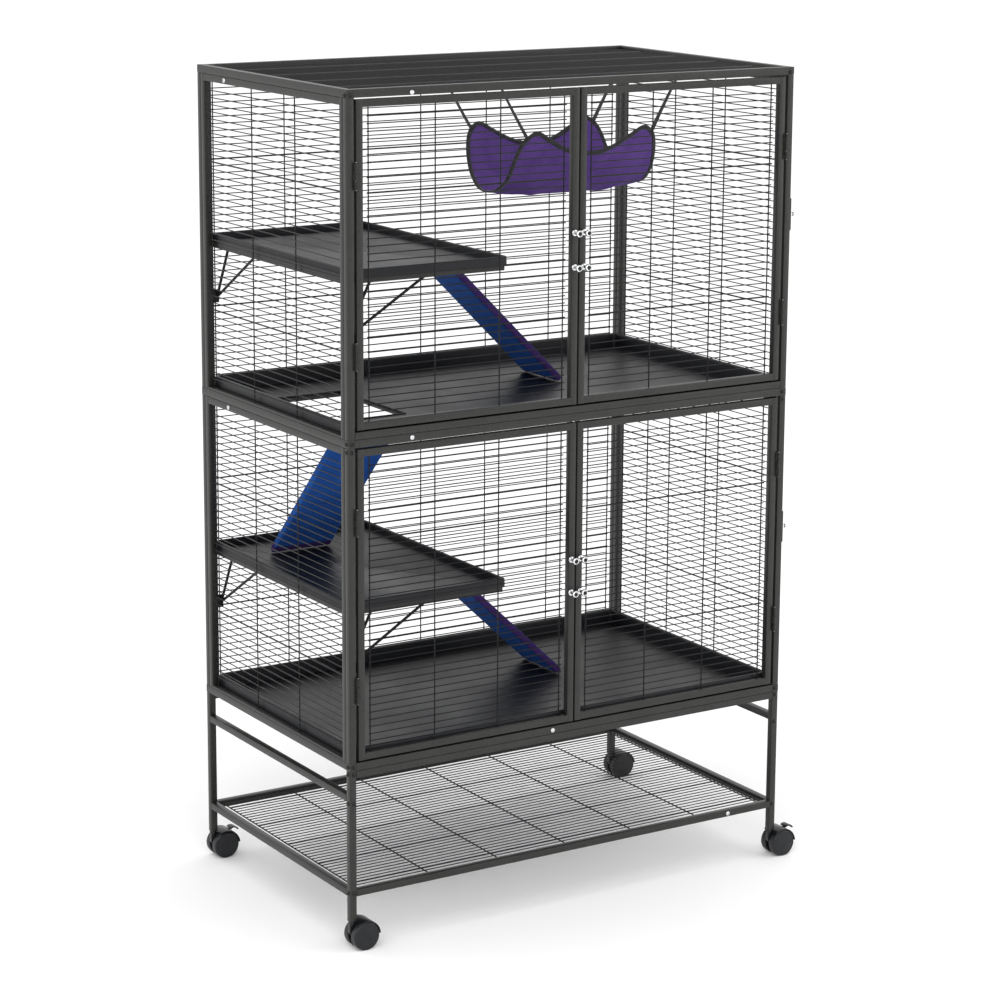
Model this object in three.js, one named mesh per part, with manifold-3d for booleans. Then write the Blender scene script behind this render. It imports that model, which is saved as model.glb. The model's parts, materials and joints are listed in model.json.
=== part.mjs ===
// A two-tier ferret cage on a wheeled stand, with double doors in front of each tier, two side
// platforms, three carpeted ramps, two litter trays, a hammock and a storage shelf.
// Millimetres, +Z up, the doors face -Y. The origin is under the middle of the whole cage,
// on the floor that the casters stand on.
import * as THREE from "three";
import { mergeVertices } from "three/addons/utils/BufferGeometryUtils.js";
import Module from "manifold-3d";

const wasm = await Module();
wasm.setup();

// ---------------------------------------------------------------- driving dimensions

// The cage, over its tubes.
const cageWidth = 914; // X
const cageDepth = 546; // Y
const tube = 12.7; // square tube of posts, rails, panels and doors
const ringHeight = 14; // height of the floor frames and of the roof frame
const seat = 0.3; // clearance wherever one piece bears on another

// Heights.
const standTop = 323;
const lowerTierHeight = 549;
const upperTierHeight = 569.5;

// Wires.
const wirePitch = 12.7; // between the crosswires of doors, side panels and roof
const backWirePitch = 25.4; // of the back panels and the shelf: every second crosswire
const crosswire = 2;
const upright = 2.4;
const gridInset = 4.5; // from the outer face of a frame to its wires
const doorUprights = 4;
const doorUprightGap = 13.9; // from a stile to the middle of the first upright
const sideUprights = 4;
const sideUprightGap = 10.3;
const backUprights = 7; // also in the roof and the shelf
const backUprightGap = 12.9;
const sillBar = 4; // flat bar along the foot of the side and back panels

// Doors, hinges and latches.
const hingeGap = 5; // between a post and its door
const meetingGap = 3; // between the two doors of a pair
const doorGap = 3; // above and below a door
const knuckleRadius = 2.8;
const knuckleHeight = 15;
const knuckleGap = 0.4;
const hingePinRadius = 1.4;
const pinClearance = 0.3;
const hingeReach = 3.2; // from the front face out to the hinge axis
const leafThickness = 1;
const leafDepth = 9;
const weld = 0.6; // how far a welded piece bites into what carries it
const hingeInset = 125; // from the ends of a door to the middle of its hinges
const latchSpacing = 60; // between the two rows of knobs
const latchDrop = 3.5; // of the middle of the rows below the middle of the door
const knobOffset = 9.6; // from the meeting line to a knob's axis
const knobRadius = 6.5;
const knobReach = 18; // out of the door's face
const shaftRadius = 2.4;
const shaftClearance = 0.4;
const tongueLength = 24;
const tongueWidth = 8;
const tongueThickness = 2.5;
const catchHeight = 59; // plate on the outer side of each right-hand post
const catchThickness = 4;
const catchButtonRadius = 4;
const catchButtonReach = 11;

// Trays and platforms.
const trayClearance = 1.3; // between a tray and the frames round it
const trayHeight = 30;
const trayWall = 3;
const trayRim = 8;
const trayCorner = 14;
const floorBars = 6; // flat bars under each tray
const floorBarWidth = 10;
const floorBarThickness = 5;
const floorBarLift = 0.5; // above the underside of the floor frame
const openingWidth = 130.5; // of the way down between the tiers
const openingDepth = 230;
const openingLeft = 77.5; // from the cage's left side
const openingFront = 173; // from the cage's front
const openingLip = 5; // height of the tray's lip round the opening
const borderRod = 5; // width of the bars round that opening
const platformWidth = 317;
const platformFront = 26; // from the cage's front to the platform
const platformBackGap = 1.3; // from the platform to the back panel
const lowerPlatformRise = 277; // from a floor frame's top to the rim of its platform
const upperPlatformRise = 283;
const panHeight = 15;
const panWall = 2.5;
const panRim = 6;
const panCorner = 9;
const carrierTube = 9.5;
const carrierInset = 5;
const braceRadius = 2.5;
const braceDrop = 92; // from the carrier's underside to the anchor
const braceNear = 48; // from the anchor to the two feet, along the platform
const braceFar = 157;

// Ramps.
const rampLength = 370; // between the axes of its two round ends
const rampWidth = 120;
const rampThickness = 14;
const rampRod = 3; // radius of the rod it hangs on
const rampDepth = 340; // from the cage's front to the middle of the two side ramps
const sidePivotOut = 8; // from a platform's right edge to the axis of its ramp
const middlePivotDrop = 10; // of the middle ramp's axis below the upper floor
const middlePivotBack = 9; // of that axis behind the opening's front edge
const earEdge = 2.5; // of steel round the rod's bore
const earThickness = 3;
const earClearance = 0.8;

// Hammock.
const hammockLength = 288;
const hammockWidth = 206;
const hammockLeft = 457; // from the cage's left side to its left corners
const hammockMiddle = 280; // from the cage's front to its middle
const hammockHeight = 1370; // of its four corners
const hammockDepth = 121;
const hammockEndDepth = 111;
const hammockSideSag = 38;
const hammockEndBulge = 16;
const hammockWaist = 0.1; // share by which it narrows at mid-length
const hammockEdgeTurn = 72; // degrees that the cloth has turned up by at its long edges
const hammockThickness = 3;
const hammockFold = 4; // height of the folds that run in from the corners
const strapWidth = 15;
const strapThickness = 2;
const strapSplay = 60; // sideways reach of a strap, corner to roof

// Stand.
const shelfBottom = 96.7;
const sideRailBottom = 267;
const shelfRod = 4;
const legFoot = 52;

// Casters.
const wheelRadius = 25;
const wheelThickness = 15;
const casterCore = 8; // thickness of the body between the two wheels
const wheelGap = 0.6;
const casterTrail = 19; // from the swivel axis to the axle
const axleRadius = 3;
const stemRadius = 4;
const stemLength = 18;
const wheelFacets = 16;
const coreRadius = 17;
const collarRadius = 6; // of the neck under the leg
const collarHeight = 4.5;
const hoodRadius = 28;
const hoodThickness = 2.2;
const hoodStart = 4; // degrees round the axle, from the trailing side
const hoodEnd = 130;
const leverStation = 59; // of the brake lever's pivot, in the same degrees
const leverLength = 14;
const leverTilt = 6; // degrees below level
const leverWidth = 20;
const leverThickness = 3;

// ---------------------------------------------------------------- sizes that follow

const lowerFloor = standTop + seat;
const lowerTier = {
  bottom: lowerFloor + ringHeight + seat,
  height: lowerTierHeight,
  doorBottom: lowerFloor + ringHeight + doorGap,
};
const upperFloor = lowerTier.bottom + lowerTierHeight + seat;
const sillTop = upperFloor + ringHeight + seat + tube;
const upperTier = {
  bottom: upperFloor + ringHeight + seat,
  height: upperTierHeight,
  doorBottom: sillTop + doorGap,
};
lowerTier.doorHeight = upperFloor - doorGap - lowerTier.doorBottom;
const roofBottom = upperTier.bottom + upperTierHeight + seat;
upperTier.doorHeight = roofBottom - doorGap - upperTier.doorBottom;
const roofTop = roofBottom + ringHeight;
const lowerPlatformRim = lowerFloor + ringHeight + lowerPlatformRise;
const upperPlatformRim = upperFloor + ringHeight + upperPlatformRise;
const doorWidth = (cageWidth - 2 * tube - 2 * hingeGap - meetingGap) / 2;
const platformDepth = cageDepth - tube - platformBackGap - platformFront;

// ---------------------------------------------------------------- colours

function finish(color, roughness, metalness) {
  return new THREE.MeshStandardMaterial({ color, roughness, metalness });
}

const framePaint = finish(0x45453f, 0.55, 0.3);
const chrome = finish(0xd8dadc, 0.15, 1);
const trayPlastic = finish(0x2c2d31, 0.45, 0);
const casterPlastic = finish(0x1b1c1f, 0.4, 0);
const rampCloth = finish(0x1f4c90, 0.95, 0);
const hammockCloth = finish(0x5a3d86, 0.95, 0);
const strapWebbing = finish(0x17171a, 0.9, 0);

// ---------------------------------------------------------------- solids

// A closed geometry as a solid that can be joined and cut.
function solid(geometry) {
  const plain = geometry.index ? geometry.toNonIndexed() : geometry.clone();
  plain.deleteAttribute("normal");
  plain.deleteAttribute("uv");
  const merged = mergeVertices(plain, 1e-4);
  return new wasm.Manifold(
    new wasm.Mesh({
      numProp: 3,
      vertProperties: merged.attributes.position.array,
      triVerts: new Uint32Array(merged.index.array),
    }),
  );
}

function geometryOf(made) {
  const mesh = made.getMesh();
  const geometry = new THREE.BufferGeometry();
  geometry.setAttribute("position", new THREE.BufferAttribute(mesh.vertProperties, 3));
  geometry.setIndex(new THREE.BufferAttribute(mesh.triVerts, 1));
  const faceted = geometry.toNonIndexed();
  faceted.computeVertexNormals();
  return faceted;
}

function join(...geometries) {
  return geometries.map(solid).reduce((whole, next) => whole.add(next));
}

// A box between two corners.
function box(x0, x1, y0, y1, z0, z1) {
  const geometry = new THREE.BoxGeometry(x1 - x0, y1 - y0, z1 - z0);
  return geometry.translate((x0 + x1) / 2, (y0 + y1) / 2, (z0 + z1) / 2);
}

// A round bar between two points.
function rod(from, to, radius, sides = 8) {
  const start = new THREE.Vector3(...from);
  const end = new THREE.Vector3(...to);
  const along = end.clone().sub(start);
  const geometry = new THREE.CylinderGeometry(radius, radius, along.length(), sides);
  const turn = new THREE.Quaternion().setFromUnitVectors(
    new THREE.Vector3(0, 1, 0),
    along.clone().normalize(),
  );
  return geometry.applyQuaternion(turn).translate(...start.add(end).multiplyScalar(0.5));
}

// A turned piece whose axis is Y, from [radius, y] pairs that start and end on the axis.
function turned(profile, sides) {
  return new THREE.LatheGeometry(
    profile.map(([radius, y]) => new THREE.Vector2(radius, y)),
    sides,
  );
}

// A plate with round corners, centred on the origin and lying flat from z0 to z1.
function roundedPlate(width, depth, corner, z0, z1) {
  const x = width / 2 - corner;
  const y = depth / 2 - corner;
  const quarter = Math.PI / 2;
  const shape = new THREE.Shape();
  shape.absarc(x, -y, corner, -quarter, 0);
  shape.absarc(x, y, corner, 0, quarter);
  shape.absarc(-x, y, corner, quarter, 2 * quarter);
  shape.absarc(-x, -y, corner, 2 * quarter, 3 * quarter);
  const options = { depth: z1 - z0, bevelEnabled: false, curveSegments: 2 };
  return new THREE.ExtrudeGeometry(shape, options).translate(0, 0, z0);
}

const cage = new THREE.Group();

// Adds one named piece and returns its mesh, so that it can be placed.
function piece(name, made, material, parent = cage) {
  const geometry = made.isBufferGeometry ? made : geometryOf(made);
  const mesh = new THREE.Mesh(geometry, material);
  mesh.name = name;
  parent.add(mesh);
  return mesh;
}

// Corner and side positions of the cage, measured from its middle.
const left = -cageWidth / 2;
const right = cageWidth / 2;
const front = -cageDepth / 2;
const back = cageDepth / 2;

// ---------------------------------------------------------------- wire panels

// Even places about a middle.
function spread(count, pitch, middle) {
  return Array.from({ length: count }, (_, i) => middle + (i - (count - 1) / 2) * pitch);
}

// The wires of a frame that opens from z = low to z = high, y being the depth from its outer face.
// The outer uprights stand at x = first and x = last and the crosswires end in them; the inner
// uprights pass just behind the crosswires.
function wires({ first, last, count, low, high, inset, rowPitch, thick, uprightThick, root }) {
  const places = spread(count, (last - first) / (count - 1), (first + last) / 2);
  const skin = (uprightThick - thick) / 2;
  const behind = uprightThick;
  const pieces = places.map((x, i) => {
    const y = i === 0 || i === count - 1 ? inset : inset + behind;
    const half = uprightThick / 2;
    return box(x - half, x + half, y, y + uprightThick, low - root, high + root);
  });
  const rows = Math.floor((high - low) / rowPitch) - 1;
  for (const z of spread(rows, rowPitch, (low + high) / 2)) {
    const y = inset + skin;
    pieces.push(box(first, last, y, y + thick, z - thick / 2, z + thick / 2));
  }
  return pieces;
}

// A framed wire panel standing in the XZ plane: its lower left corner is at the origin and its
// outer face at y = 0.
function framedPanel({ width, height, thickness = tube, foot = tube, grid }) {
  const frame = [
    box(0, tube, 0, thickness, 0, height),
    box(width - tube, width, 0, thickness, 0, height),
    box(0, width, 0, thickness, 0, foot),
    box(0, width, 0, thickness, height - tube, height),
  ];
  const mesh = wires({
    first: tube + grid.gap,
    last: width - tube - grid.gap,
    low: foot,
    high: height - tube,
    inset: gridInset,
    rowPitch: wirePitch,
    thick: crosswire,
    uprightThick: upright,
    root: sillBar / 2,
    ...grid,
  });
  return join(...frame, ...mesh);
}

const doorGrid = { count: doorUprights, gap: doorUprightGap };
const sideGrid = { count: sideUprights, gap: sideUprightGap };
const backGrid = { count: backUprights, gap: backUprightGap, rowPitch: backWirePitch };
const roofGrid = { ...backGrid, rowPitch: wirePitch };

// ---------------------------------------------------------------- stand

const casterPlaces = {
  front_left: [left + tube / 2, front + tube / 2],
  front_right: [right - tube / 2, front + tube / 2],
  back_left: [left + tube / 2, back - tube / 2],
  back_right: [right - tube / 2, back - tube / 2],
};

function addLegs() {
  for (const [corner, [x, y]] of Object.entries(casterPlaces)) {
    const half = tube / 2;
    const leg = solid(box(x - half, x + half, y - half, y + half, legFoot, standTop));
    const socketTop = legFoot + stemLength + 2;
    const socket = rod([x, y, legFoot - 1], [x, y, socketTop], stemRadius + seat);
    piece(`stand_leg_${corner}`, leg.subtract(solid(socket)), framePaint);
  }
}

function addStandRails() {
  const inside = tube + seat;
  const top = standTop - tube;
  const sideTop = sideRailBottom + tube;
  const x0 = left + inside;
  const x1 = right - inside;
  const y0 = front + inside;
  const y1 = back - inside;
  piece("stand_front_rail", box(x0, x1, front, front + tube, top, standTop), framePaint);
  piece("stand_back_rail", box(x0, x1, back - tube, back, top, standTop), framePaint);
  piece("stand_left_rail", box(left, left + tube, y0, y1, sideRailBottom, sideTop), framePaint);
  piece("stand_right_rail", box(right - tube, right, y0, y1, sideRailBottom, sideTop), framePaint);
}

// Four tubes between the legs, tied by rods along their inner faces, with wires across.
function addStorageShelf() {
  const width = cageWidth - 2 * (tube + seat);
  const depth = cageDepth - 2 * (tube + seat);
  const reach = tube + seat;
  const bar = [
    box(0, width, 0, tube, -reach, -seat),
    box(0, width, 0, tube, depth + seat, depth + reach),
    box(-reach, -seat, 0, tube, 0, depth),
    box(width + seat, width + reach, 0, tube, 0, depth),
  ];
  const inner = [
    box(-1, width + 1, gridInset, gridInset + shelfRod, 0, shelfRod),
    box(-1, width + 1, gridInset, gridInset + shelfRod, depth - shelfRod, depth),
    box(0, shelfRod, gridInset, gridInset + shelfRod, -1, depth + 1),
    box(width - shelfRod, width, gridInset, gridInset + shelfRod, -1, depth + 1),
  ];
  const mesh = wires({
    first: backUprightGap - seat,
    last: width + seat - backUprightGap,
    ...backGrid,
    low: shelfRod,
    high: depth - shelfRod,
    inset: gridInset - 1,
    thick: crosswire,
    uprightThick: upright,
    root: 2,
  });
  const shelf = piece("storage_shelf", join(...bar, ...inner, ...mesh), framePaint);
  shelf.rotation.x = -Math.PI / 2;
  shelf.position.set(left + reach, front + reach, shelfBottom + tube);
}

// ---------------------------------------------------------------- floors, walls and roof

// The four tubes of a floor or of the roof, lying flat: local z runs to the back and local y down
// from the top.
function flatRing() {
  const [x1, z1] = [cageWidth, cageDepth];
  return join(
    box(0, tube, 0, ringHeight, 0, z1),
    box(x1 - tube, x1, 0, ringHeight, 0, z1),
    box(0, x1, 0, ringHeight, 0, tube),
    box(0, x1, 0, ringHeight, z1 - tube, z1),
  );
}

const barUnder = ringHeight - floorBarLift; // local y of the bars' undersides
const barTop = barUnder - floorBarThickness;

// A floor frame carries its tray on flat bars from front to back.
function floorFrame() {
  const half = floorBarWidth / 2;
  const places = spread(floorBars, cageWidth / (floorBars + 1), cageWidth / 2);
  const bars = places.map((x) =>
    box(x - half, x + half, barTop, barUnder, tube - weld, cageDepth - tube + weld),
  );
  return flatRing().add(join(...bars));
}

const trayBottom = floorBarLift + floorBarThickness + seat; // above the underside of the frame

// The way down: a hole among the bars with a border, and two ears for the ramp below.
const opening = {
  x0: openingLeft,
  x1: openingLeft + openingWidth,
  y0: openingFront,
  y1: openingFront + openingDepth,
};

function upperFloorFrame() {
  const { x0, x1, y0, y1 } = opening;
  const hole = box(x0, x1, -1, ringHeight + 1, y0, y1);
  const rim = borderRod;
  const border = [
    box(x0 - rim, x1 + rim, barTop, barUnder, y0 - rim, y0),
    box(x0 - rim, x1 + rim, barTop, barUnder, y1, y1 + rim),
    box(x0 - rim, x0, barTop, barUnder, y0 - rim, y1 + rim),
    box(x1, x1 + rim, barTop, barUnder, y0 - rim, y1 + rim),
  ];
  const pivotY = ringHeight + middlePivotDrop;
  const pivotZ = y0 + middlePivotBack;
  const middle = (x0 + x1) / 2;
  const earInner = rampWidth / 2 + earClearance;
  const ears = [-1, 1].map((side) => {
    const a = middle + side * earInner;
    const b = middle + side * (earInner + earThickness);
    const z1 = pivotZ + earReach;
    return box(Math.min(a, b), Math.max(a, b), barTop, pivotY + earReach, y0 - rim, z1);
  });
  const bore = rod([x0, pivotY, pivotZ], [x1, pivotY, pivotZ], rampRod + 0.4);
  return floorFrame()
    .subtract(solid(hole))
    .add(join(...border, ...ears))
    .subtract(solid(bore));
}

function addFloorsAndRoof() {
  const flat = (mesh, top) => {
    mesh.rotation.x = -Math.PI / 2;
    mesh.position.set(left, front, top);
  };
  flat(piece("lower_floor_frame", floorFrame(), framePaint), lowerFloor + ringHeight);
  flat(piece("upper_floor_frame", upperFloorFrame(), framePaint), upperFloor + ringHeight);
  const roof = framedPanel({
    width: cageWidth,
    height: cageDepth,
    thickness: ringHeight,
    grid: roofGrid,
  });
  flat(piece("roof_frame", roof, framePaint), roofTop);
}

function addWalls(name, tier) {
  const sideLength = cageDepth - 2 * (tube + seat);
  const size = { height: tier.height, foot: sillBar };
  const side = framedPanel({ ...size, width: sideLength, grid: sideGrid });
  const leftWall = piece(`${name}_left_panel`, side, framePaint);
  leftWall.rotation.z = -Math.PI / 2;
  leftWall.position.set(left, back - tube - seat, tier.bottom);
  const rightWall = piece(`${name}_right_panel`, side, framePaint);
  rightWall.rotation.z = Math.PI / 2;
  rightWall.position.set(right, front + tube + seat, tier.bottom);
  const rear = framedPanel({ ...size, width: cageWidth, grid: backGrid });
  const backWall = piece(`${name}_back_panel`, rear, framePaint);
  backWall.rotation.z = Math.PI;
  backWall.position.set(right, back, tier.bottom);
}

// ---------------------------------------------------------------- posts and doors

const hingeAxisY = front - hingeReach;
const hingeAxisX = tube + hingeGap / 2; // in from the cage's side

// Middles of the two hinges of a tier's doors.
function hingeHeights(tier) {
  return [tier.doorBottom + hingeInset, tier.doorBottom + tier.doorHeight - hingeInset];
}

// The fixed half of a hinge: two knuckles and the pin, each knuckle on a leaf in the gap.
function fixedHinge(side, middle) {
  const x = side * (cageWidth / 2 - hingeAxisX);
  const faceX = side * (cageWidth / 2 - tube);
  const pieces = [-1, 1].flatMap((end) => {
    const near = middle + end * (knuckleHeight / 2 + knuckleGap);
    const far = near + end * knuckleHeight;
    const z0 = Math.min(near, far);
    const z1 = Math.max(near, far);
    const leaf = [faceX - side * leafThickness, faceX + side * weld];
    return [
      rod([x, hingeAxisY, z0], [x, hingeAxisY, z1], knuckleRadius, 6),
      box(Math.min(...leaf), Math.max(...leaf), hingeAxisY, front + leafDepth, z0, z1),
    ];
  });
  const reach = knuckleHeight * 1.5;
  const [foot, head] = [middle - reach, middle + reach];
  pieces.push(rod([x, hingeAxisY, foot], [x, hingeAxisY, head], hingePinRadius, 6));
  return pieces;
}

// A plate with a button, screwed to the outer side of a right-hand post.
function sideCatch(tier) {
  const middle = tier.doorBottom + tier.doorHeight / 2 + latchSpacing / 2 - latchDrop;
  const y = front + tube / 2;
  const half = catchHeight / 2;
  return [
    box(right - weld, right + catchThickness, front + 2, front + tube - 2, middle - half, middle + half),
    rod([right, y, middle], [right + catchButtonReach, y, middle], catchButtonRadius),
  ];
}

function addPosts(name, tier) {
  for (const [label, side] of [["left", -1], ["right", 1]]) {
    const outer = side * (cageWidth / 2);
    const inner = outer - side * tube;
    const x = [Math.min(outer, inner), Math.max(outer, inner)];
    const top = tier.bottom + tier.height;
    const post = box(...x, front, front + tube, tier.bottom, top);
    const hinges = hingeHeights(tier).flatMap((z) => fixedHinge(side, z));
    const extra = side > 0 ? sideCatch(tier) : [];
    piece(`${name}_front_${label}_post`, join(post, ...hinges, ...extra), framePaint);
  }
}

// Heights of the two rows of knobs, above the door's foot.
function latchHeights(tier) {
  const middle = tier.doorHeight / 2 - latchDrop;
  return [middle + latchSpacing / 2, middle - latchSpacing / 2];
}

// A left-hand door: the hinge stile is at x = 0 and the meeting stile at x = doorWidth.
function doorSolid(tier) {
  const knobX = doorWidth + meetingGap / 2 - knobOffset;
  const knuckleX = -hingeGap / 2;
  let door = framedPanel({ width: doorWidth, height: tier.doorHeight, grid: doorGrid });
  for (const z of [hingeInset, tier.doorHeight - hingeInset]) {
    const z0 = z - knuckleHeight / 2;
    const z1 = z + knuckleHeight / 2;
    const leaf = join(
      rod([knuckleX, -hingeReach, z0], [knuckleX, -hingeReach, z1], knuckleRadius, 6),
      box(-leafThickness, weld, -hingeReach, leafDepth, z0, z1),
    );
    const bore = rod(
      [knuckleX, -hingeReach, z0 - 1],
      [knuckleX, -hingeReach, z1 + 1],
      hingePinRadius + pinClearance,
      6,
    );
    door = door.add(leaf).subtract(solid(bore));
  }
  for (const z of latchHeights(tier)) {
    const hole = rod([knobX, -1, z], [knobX, tube + 1, z], shaftRadius + shaftClearance);
    door = door.subtract(solid(hole));
  }
  return door;
}

// A turned knob on a shaft that runs back through the stile, its axis along Y and the stile's
// front face at y = 0.
function knobProfile(shaftEnd) {
  const neck = shaftRadius + 0.6;
  return [
    [0, shaftEnd],
    [shaftRadius, shaftEnd],
    [shaftRadius, -seat],
    [knobRadius - 1, -seat],
    [knobRadius - 1, -3],
    [neck, -3],
    [neck, -knobReach + 5],
    [knobRadius, -knobReach + 4],
    [knobRadius - 1, -knobReach],
    [0, -knobReach],
  ];
}

function keeperKnob() {
  return turned(knobProfile(tube - 1).reverse(), 8);
}

// The same knob with a tongue behind the stile, hanging straight down: unlatched.
function turnLatch() {
  const tongueFront = tube + 0.5;
  const tongue = box(
    -tongueWidth / 2,
    tongueWidth / 2,
    tongueFront,
    tongueFront + tongueThickness,
    -tongueLength,
    tongueWidth / 2,
  );
  return join(turned(knobProfile(tongueFront + 1).reverse(), 8), tongue);
}

function addDoors(name, tier) {
  const door = doorSolid(tier);
  const hingeSide = tube + hingeGap;
  const leftDoor = piece(`${name}_left_door`, door, framePaint);
  leftDoor.position.set(left + hingeSide, front, tier.doorBottom);
  const rightDoor = piece(`${name}_right_door`, door, framePaint);
  rightDoor.position.set(right - hingeSide, front, tier.doorBottom);
  rightDoor.scale.x = -1; // the same door the other way round
  latchHeights(tier).forEach((height, row) => {
    const place = ["upper", "lower"][row];
    const z = tier.doorBottom + height;
    const keeper = piece(`${name}_keeper_knob_${place}`, keeperKnob(), chrome);
    keeper.position.set(-knobOffset, front, z);
    const latch = piece(`${name}_turn_latch_${place}`, turnLatch(), chrome);
    latch.position.set(knobOffset, front, z);
  });
}

// ---------------------------------------------------------------- trays

// A shallow tray with a thick rim, its underside at z = 0, centred on the origin.
function trayBody(width, depth, height, wall, rim, corner) {
  const pocket = (inset, z0, z1) =>
    solid(roundedPlate(width - 2 * inset, depth - 2 * inset, corner - inset / 2, z0, z1));
  return solid(roundedPlate(width, depth, corner, 0, height))
    .subtract(pocket(wall, wall, height - rim))
    .subtract(pocket(rim, wall + 1, height + 1));
}

function addTrays() {
  const inside = tube + trayClearance;
  const width = cageWidth - 2 * inside;
  const depth = cageDepth - 2 * inside;
  const body = () => trayBody(width, depth, trayHeight, trayWall, trayRim, trayCorner);
  piece("lower_tray", body(), trayPlastic).position.z = lowerFloor + trayBottom;
  const { x0, x1, y0, y1 } = opening;
  const hole = [left + x0, left + x1, front + y0, front + y1];
  const wall = trayWall;
  const lip = box(hole[0] - wall, hole[1] + wall, hole[2] - wall, hole[3] + wall, 0, openingLip);
  const upper = body()
    .add(solid(lip))
    .subtract(solid(box(...hole, -1, trayHeight)));
  piece("upper_tray", upper, trayPlastic).position.z = upperFloor + trayBottom;
}

// ---------------------------------------------------------------- platforms

const carrierTop = -panHeight - seat;
const carrierBottom = carrierTop - carrierTube;
const earReach = rampRod + earEdge; // from a ramp's axis to the edges of its ears
const sidePivotDrop = earReach + 0.5; // of the ramp's axis below the top of the carrier

// The steel carrier under a platform pan, in coordinates from the pan's rim: x from the cage's
// left wall, y from the platform's front, z down from the rim.
function carrierSolid() {
  const x0 = seat;
  const x1 = platformWidth - carrierInset;
  const y0 = carrierInset;
  const y1 = platformDepth - carrierInset;
  const bar = (a, b, c, d) => box(a, b, c, d, carrierBottom, carrierTop);
  const middleZ = (carrierTop + carrierBottom) / 2;
  const anchorZ = carrierBottom - braceDrop;
  const frontY = y0 + carrierTube / 2;
  const rearX = x0 + carrierTube + 1;
  const rearAnchorY = y1 - 1;
  const plate = 3;
  const brace = (anchor, direction) =>
    [braceNear, braceFar].map((reach) => {
      const foot = anchor.map((value, i) => value + direction[i] * reach);
      foot[2] = middleZ;
      return rod(anchor, foot, braceRadius, 6);
    });
  const pivotX = platformWidth + sidePivotOut;
  const pivotZ = carrierTop - sidePivotDrop;
  const pivotY = rampDepth - platformFront;
  const earInner = rampWidth / 2 + earClearance;
  const ears = [-1, 1].map((side) => {
    const a = pivotY + side * earInner;
    const b = pivotY + side * (earInner + earThickness);
    const [z0, z1] = [pivotZ - earReach, pivotZ + earReach];
    return box(x1 - 2, pivotX + earReach, Math.min(a, b), Math.max(a, b), z0, z1);
  });
  const bore = rod(
    [pivotX, pivotY - earInner - 5, pivotZ],
    [pivotX, pivotY + earInner + 5, pivotZ],
    rampRod + 0.4,
  );
  return join(
    bar(x0, x0 + carrierTube, y0, y1),
    bar(x1 - carrierTube, x1, y0, y1),
    bar(x0, x1, y0, y0 + carrierTube),
    bar(x0, x1, y1 - carrierTube, y1),
    bar(x0, x1, (y0 + y1 - carrierTube) / 2, (y0 + y1 + carrierTube) / 2),
    ...brace([x0 + plate, frontY, anchorZ], [1, 0, 0]),
    box(x0, x0 + 2 * plate, frontY - 2 * plate - carrierTube, frontY + plate, anchorZ - 6, anchorZ + 6),
    ...brace([rearX, rearAnchorY, anchorZ], [0, -1, 0]),
    box(x0, rearX + plate, rearAnchorY - plate, rearAnchorY + plate, anchorZ - 6, anchorZ + 6),
    ...ears,
  ).subtract(solid(bore));
}

function addPlatform(name, rim) {
  const x0 = left + tube;
  const pan = trayBody(platformWidth, platformDepth, panHeight, panWall, panRim, panCorner);
  const panMesh = piece(`${name}_platform_pan`, pan, trayPlastic);
  const panX = x0 + seat + platformWidth / 2;
  panMesh.position.set(panX, front + platformFront + platformDepth / 2, rim - panHeight);
  const carrier = piece(`${name}_platform_carrier`, carrierSolid(), framePaint);
  carrier.position.set(x0, front + platformFront, rim);
}

// ---------------------------------------------------------------- ramps

// A board in its cloth sleeve, with round ends, hanging from a rod: the rod's axis is local Y at
// the origin and the board runs to +X.
function rampSolid() {
  const half = rampThickness / 2;
  const shape = new THREE.Shape();
  shape.absarc(0, 0, half, Math.PI / 2, Math.PI * 1.5);
  shape.absarc(rampLength, 0, half, -Math.PI / 2, Math.PI / 2);
  const board = new THREE.ExtrudeGeometry(shape, {
    depth: rampWidth,
    bevelEnabled: false,
    curveSegments: 4,
  })
    .rotateX(Math.PI / 2)
    .translate(0, rampWidth / 2, 0);
  const reach = rampWidth / 2 + earClearance + earThickness + 1;
  return join(board, rod([0, -reach, 0], [0, reach, 0], rampRod));
}

// Hangs a ramp from a pivot down to the surface at the given height.
function addRamp(name, pivot, surface, heading) {
  const holder = new THREE.Group();
  holder.position.set(...pivot);
  holder.rotation.z = heading;
  cage.add(holder);
  const drop = pivot[2] - (surface + seat + rampThickness / 2);
  const ramp = piece(name, rampSolid(), rampCloth, holder);
  ramp.rotation.y = Math.asin(drop / rampLength);
}

function addRamps() {
  const sideRamps = [
    ["upper_ramp", upperFloor, upperPlatformRim],
    ["lower_ramp", lowerFloor, lowerPlatformRim],
  ];
  for (const [name, floor, rim] of sideRamps) {
    const pivot = [
      left + tube + platformWidth + sidePivotOut,
      front + rampDepth,
      rim + carrierTop - sidePivotDrop,
    ];
    addRamp(name, pivot, floor + trayBottom + trayWall, 0);
  }
  const middle = left + (opening.x0 + opening.x1) / 2;
  const pivot = [middle, front + opening.y0 + middlePivotBack, upperFloor - middlePivotDrop];
  const pan = lowerPlatformRim - panHeight + panWall;
  addRamp("middle_ramp", pivot, pan, Math.PI / 2);
}

// ---------------------------------------------------------------- hammock

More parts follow.
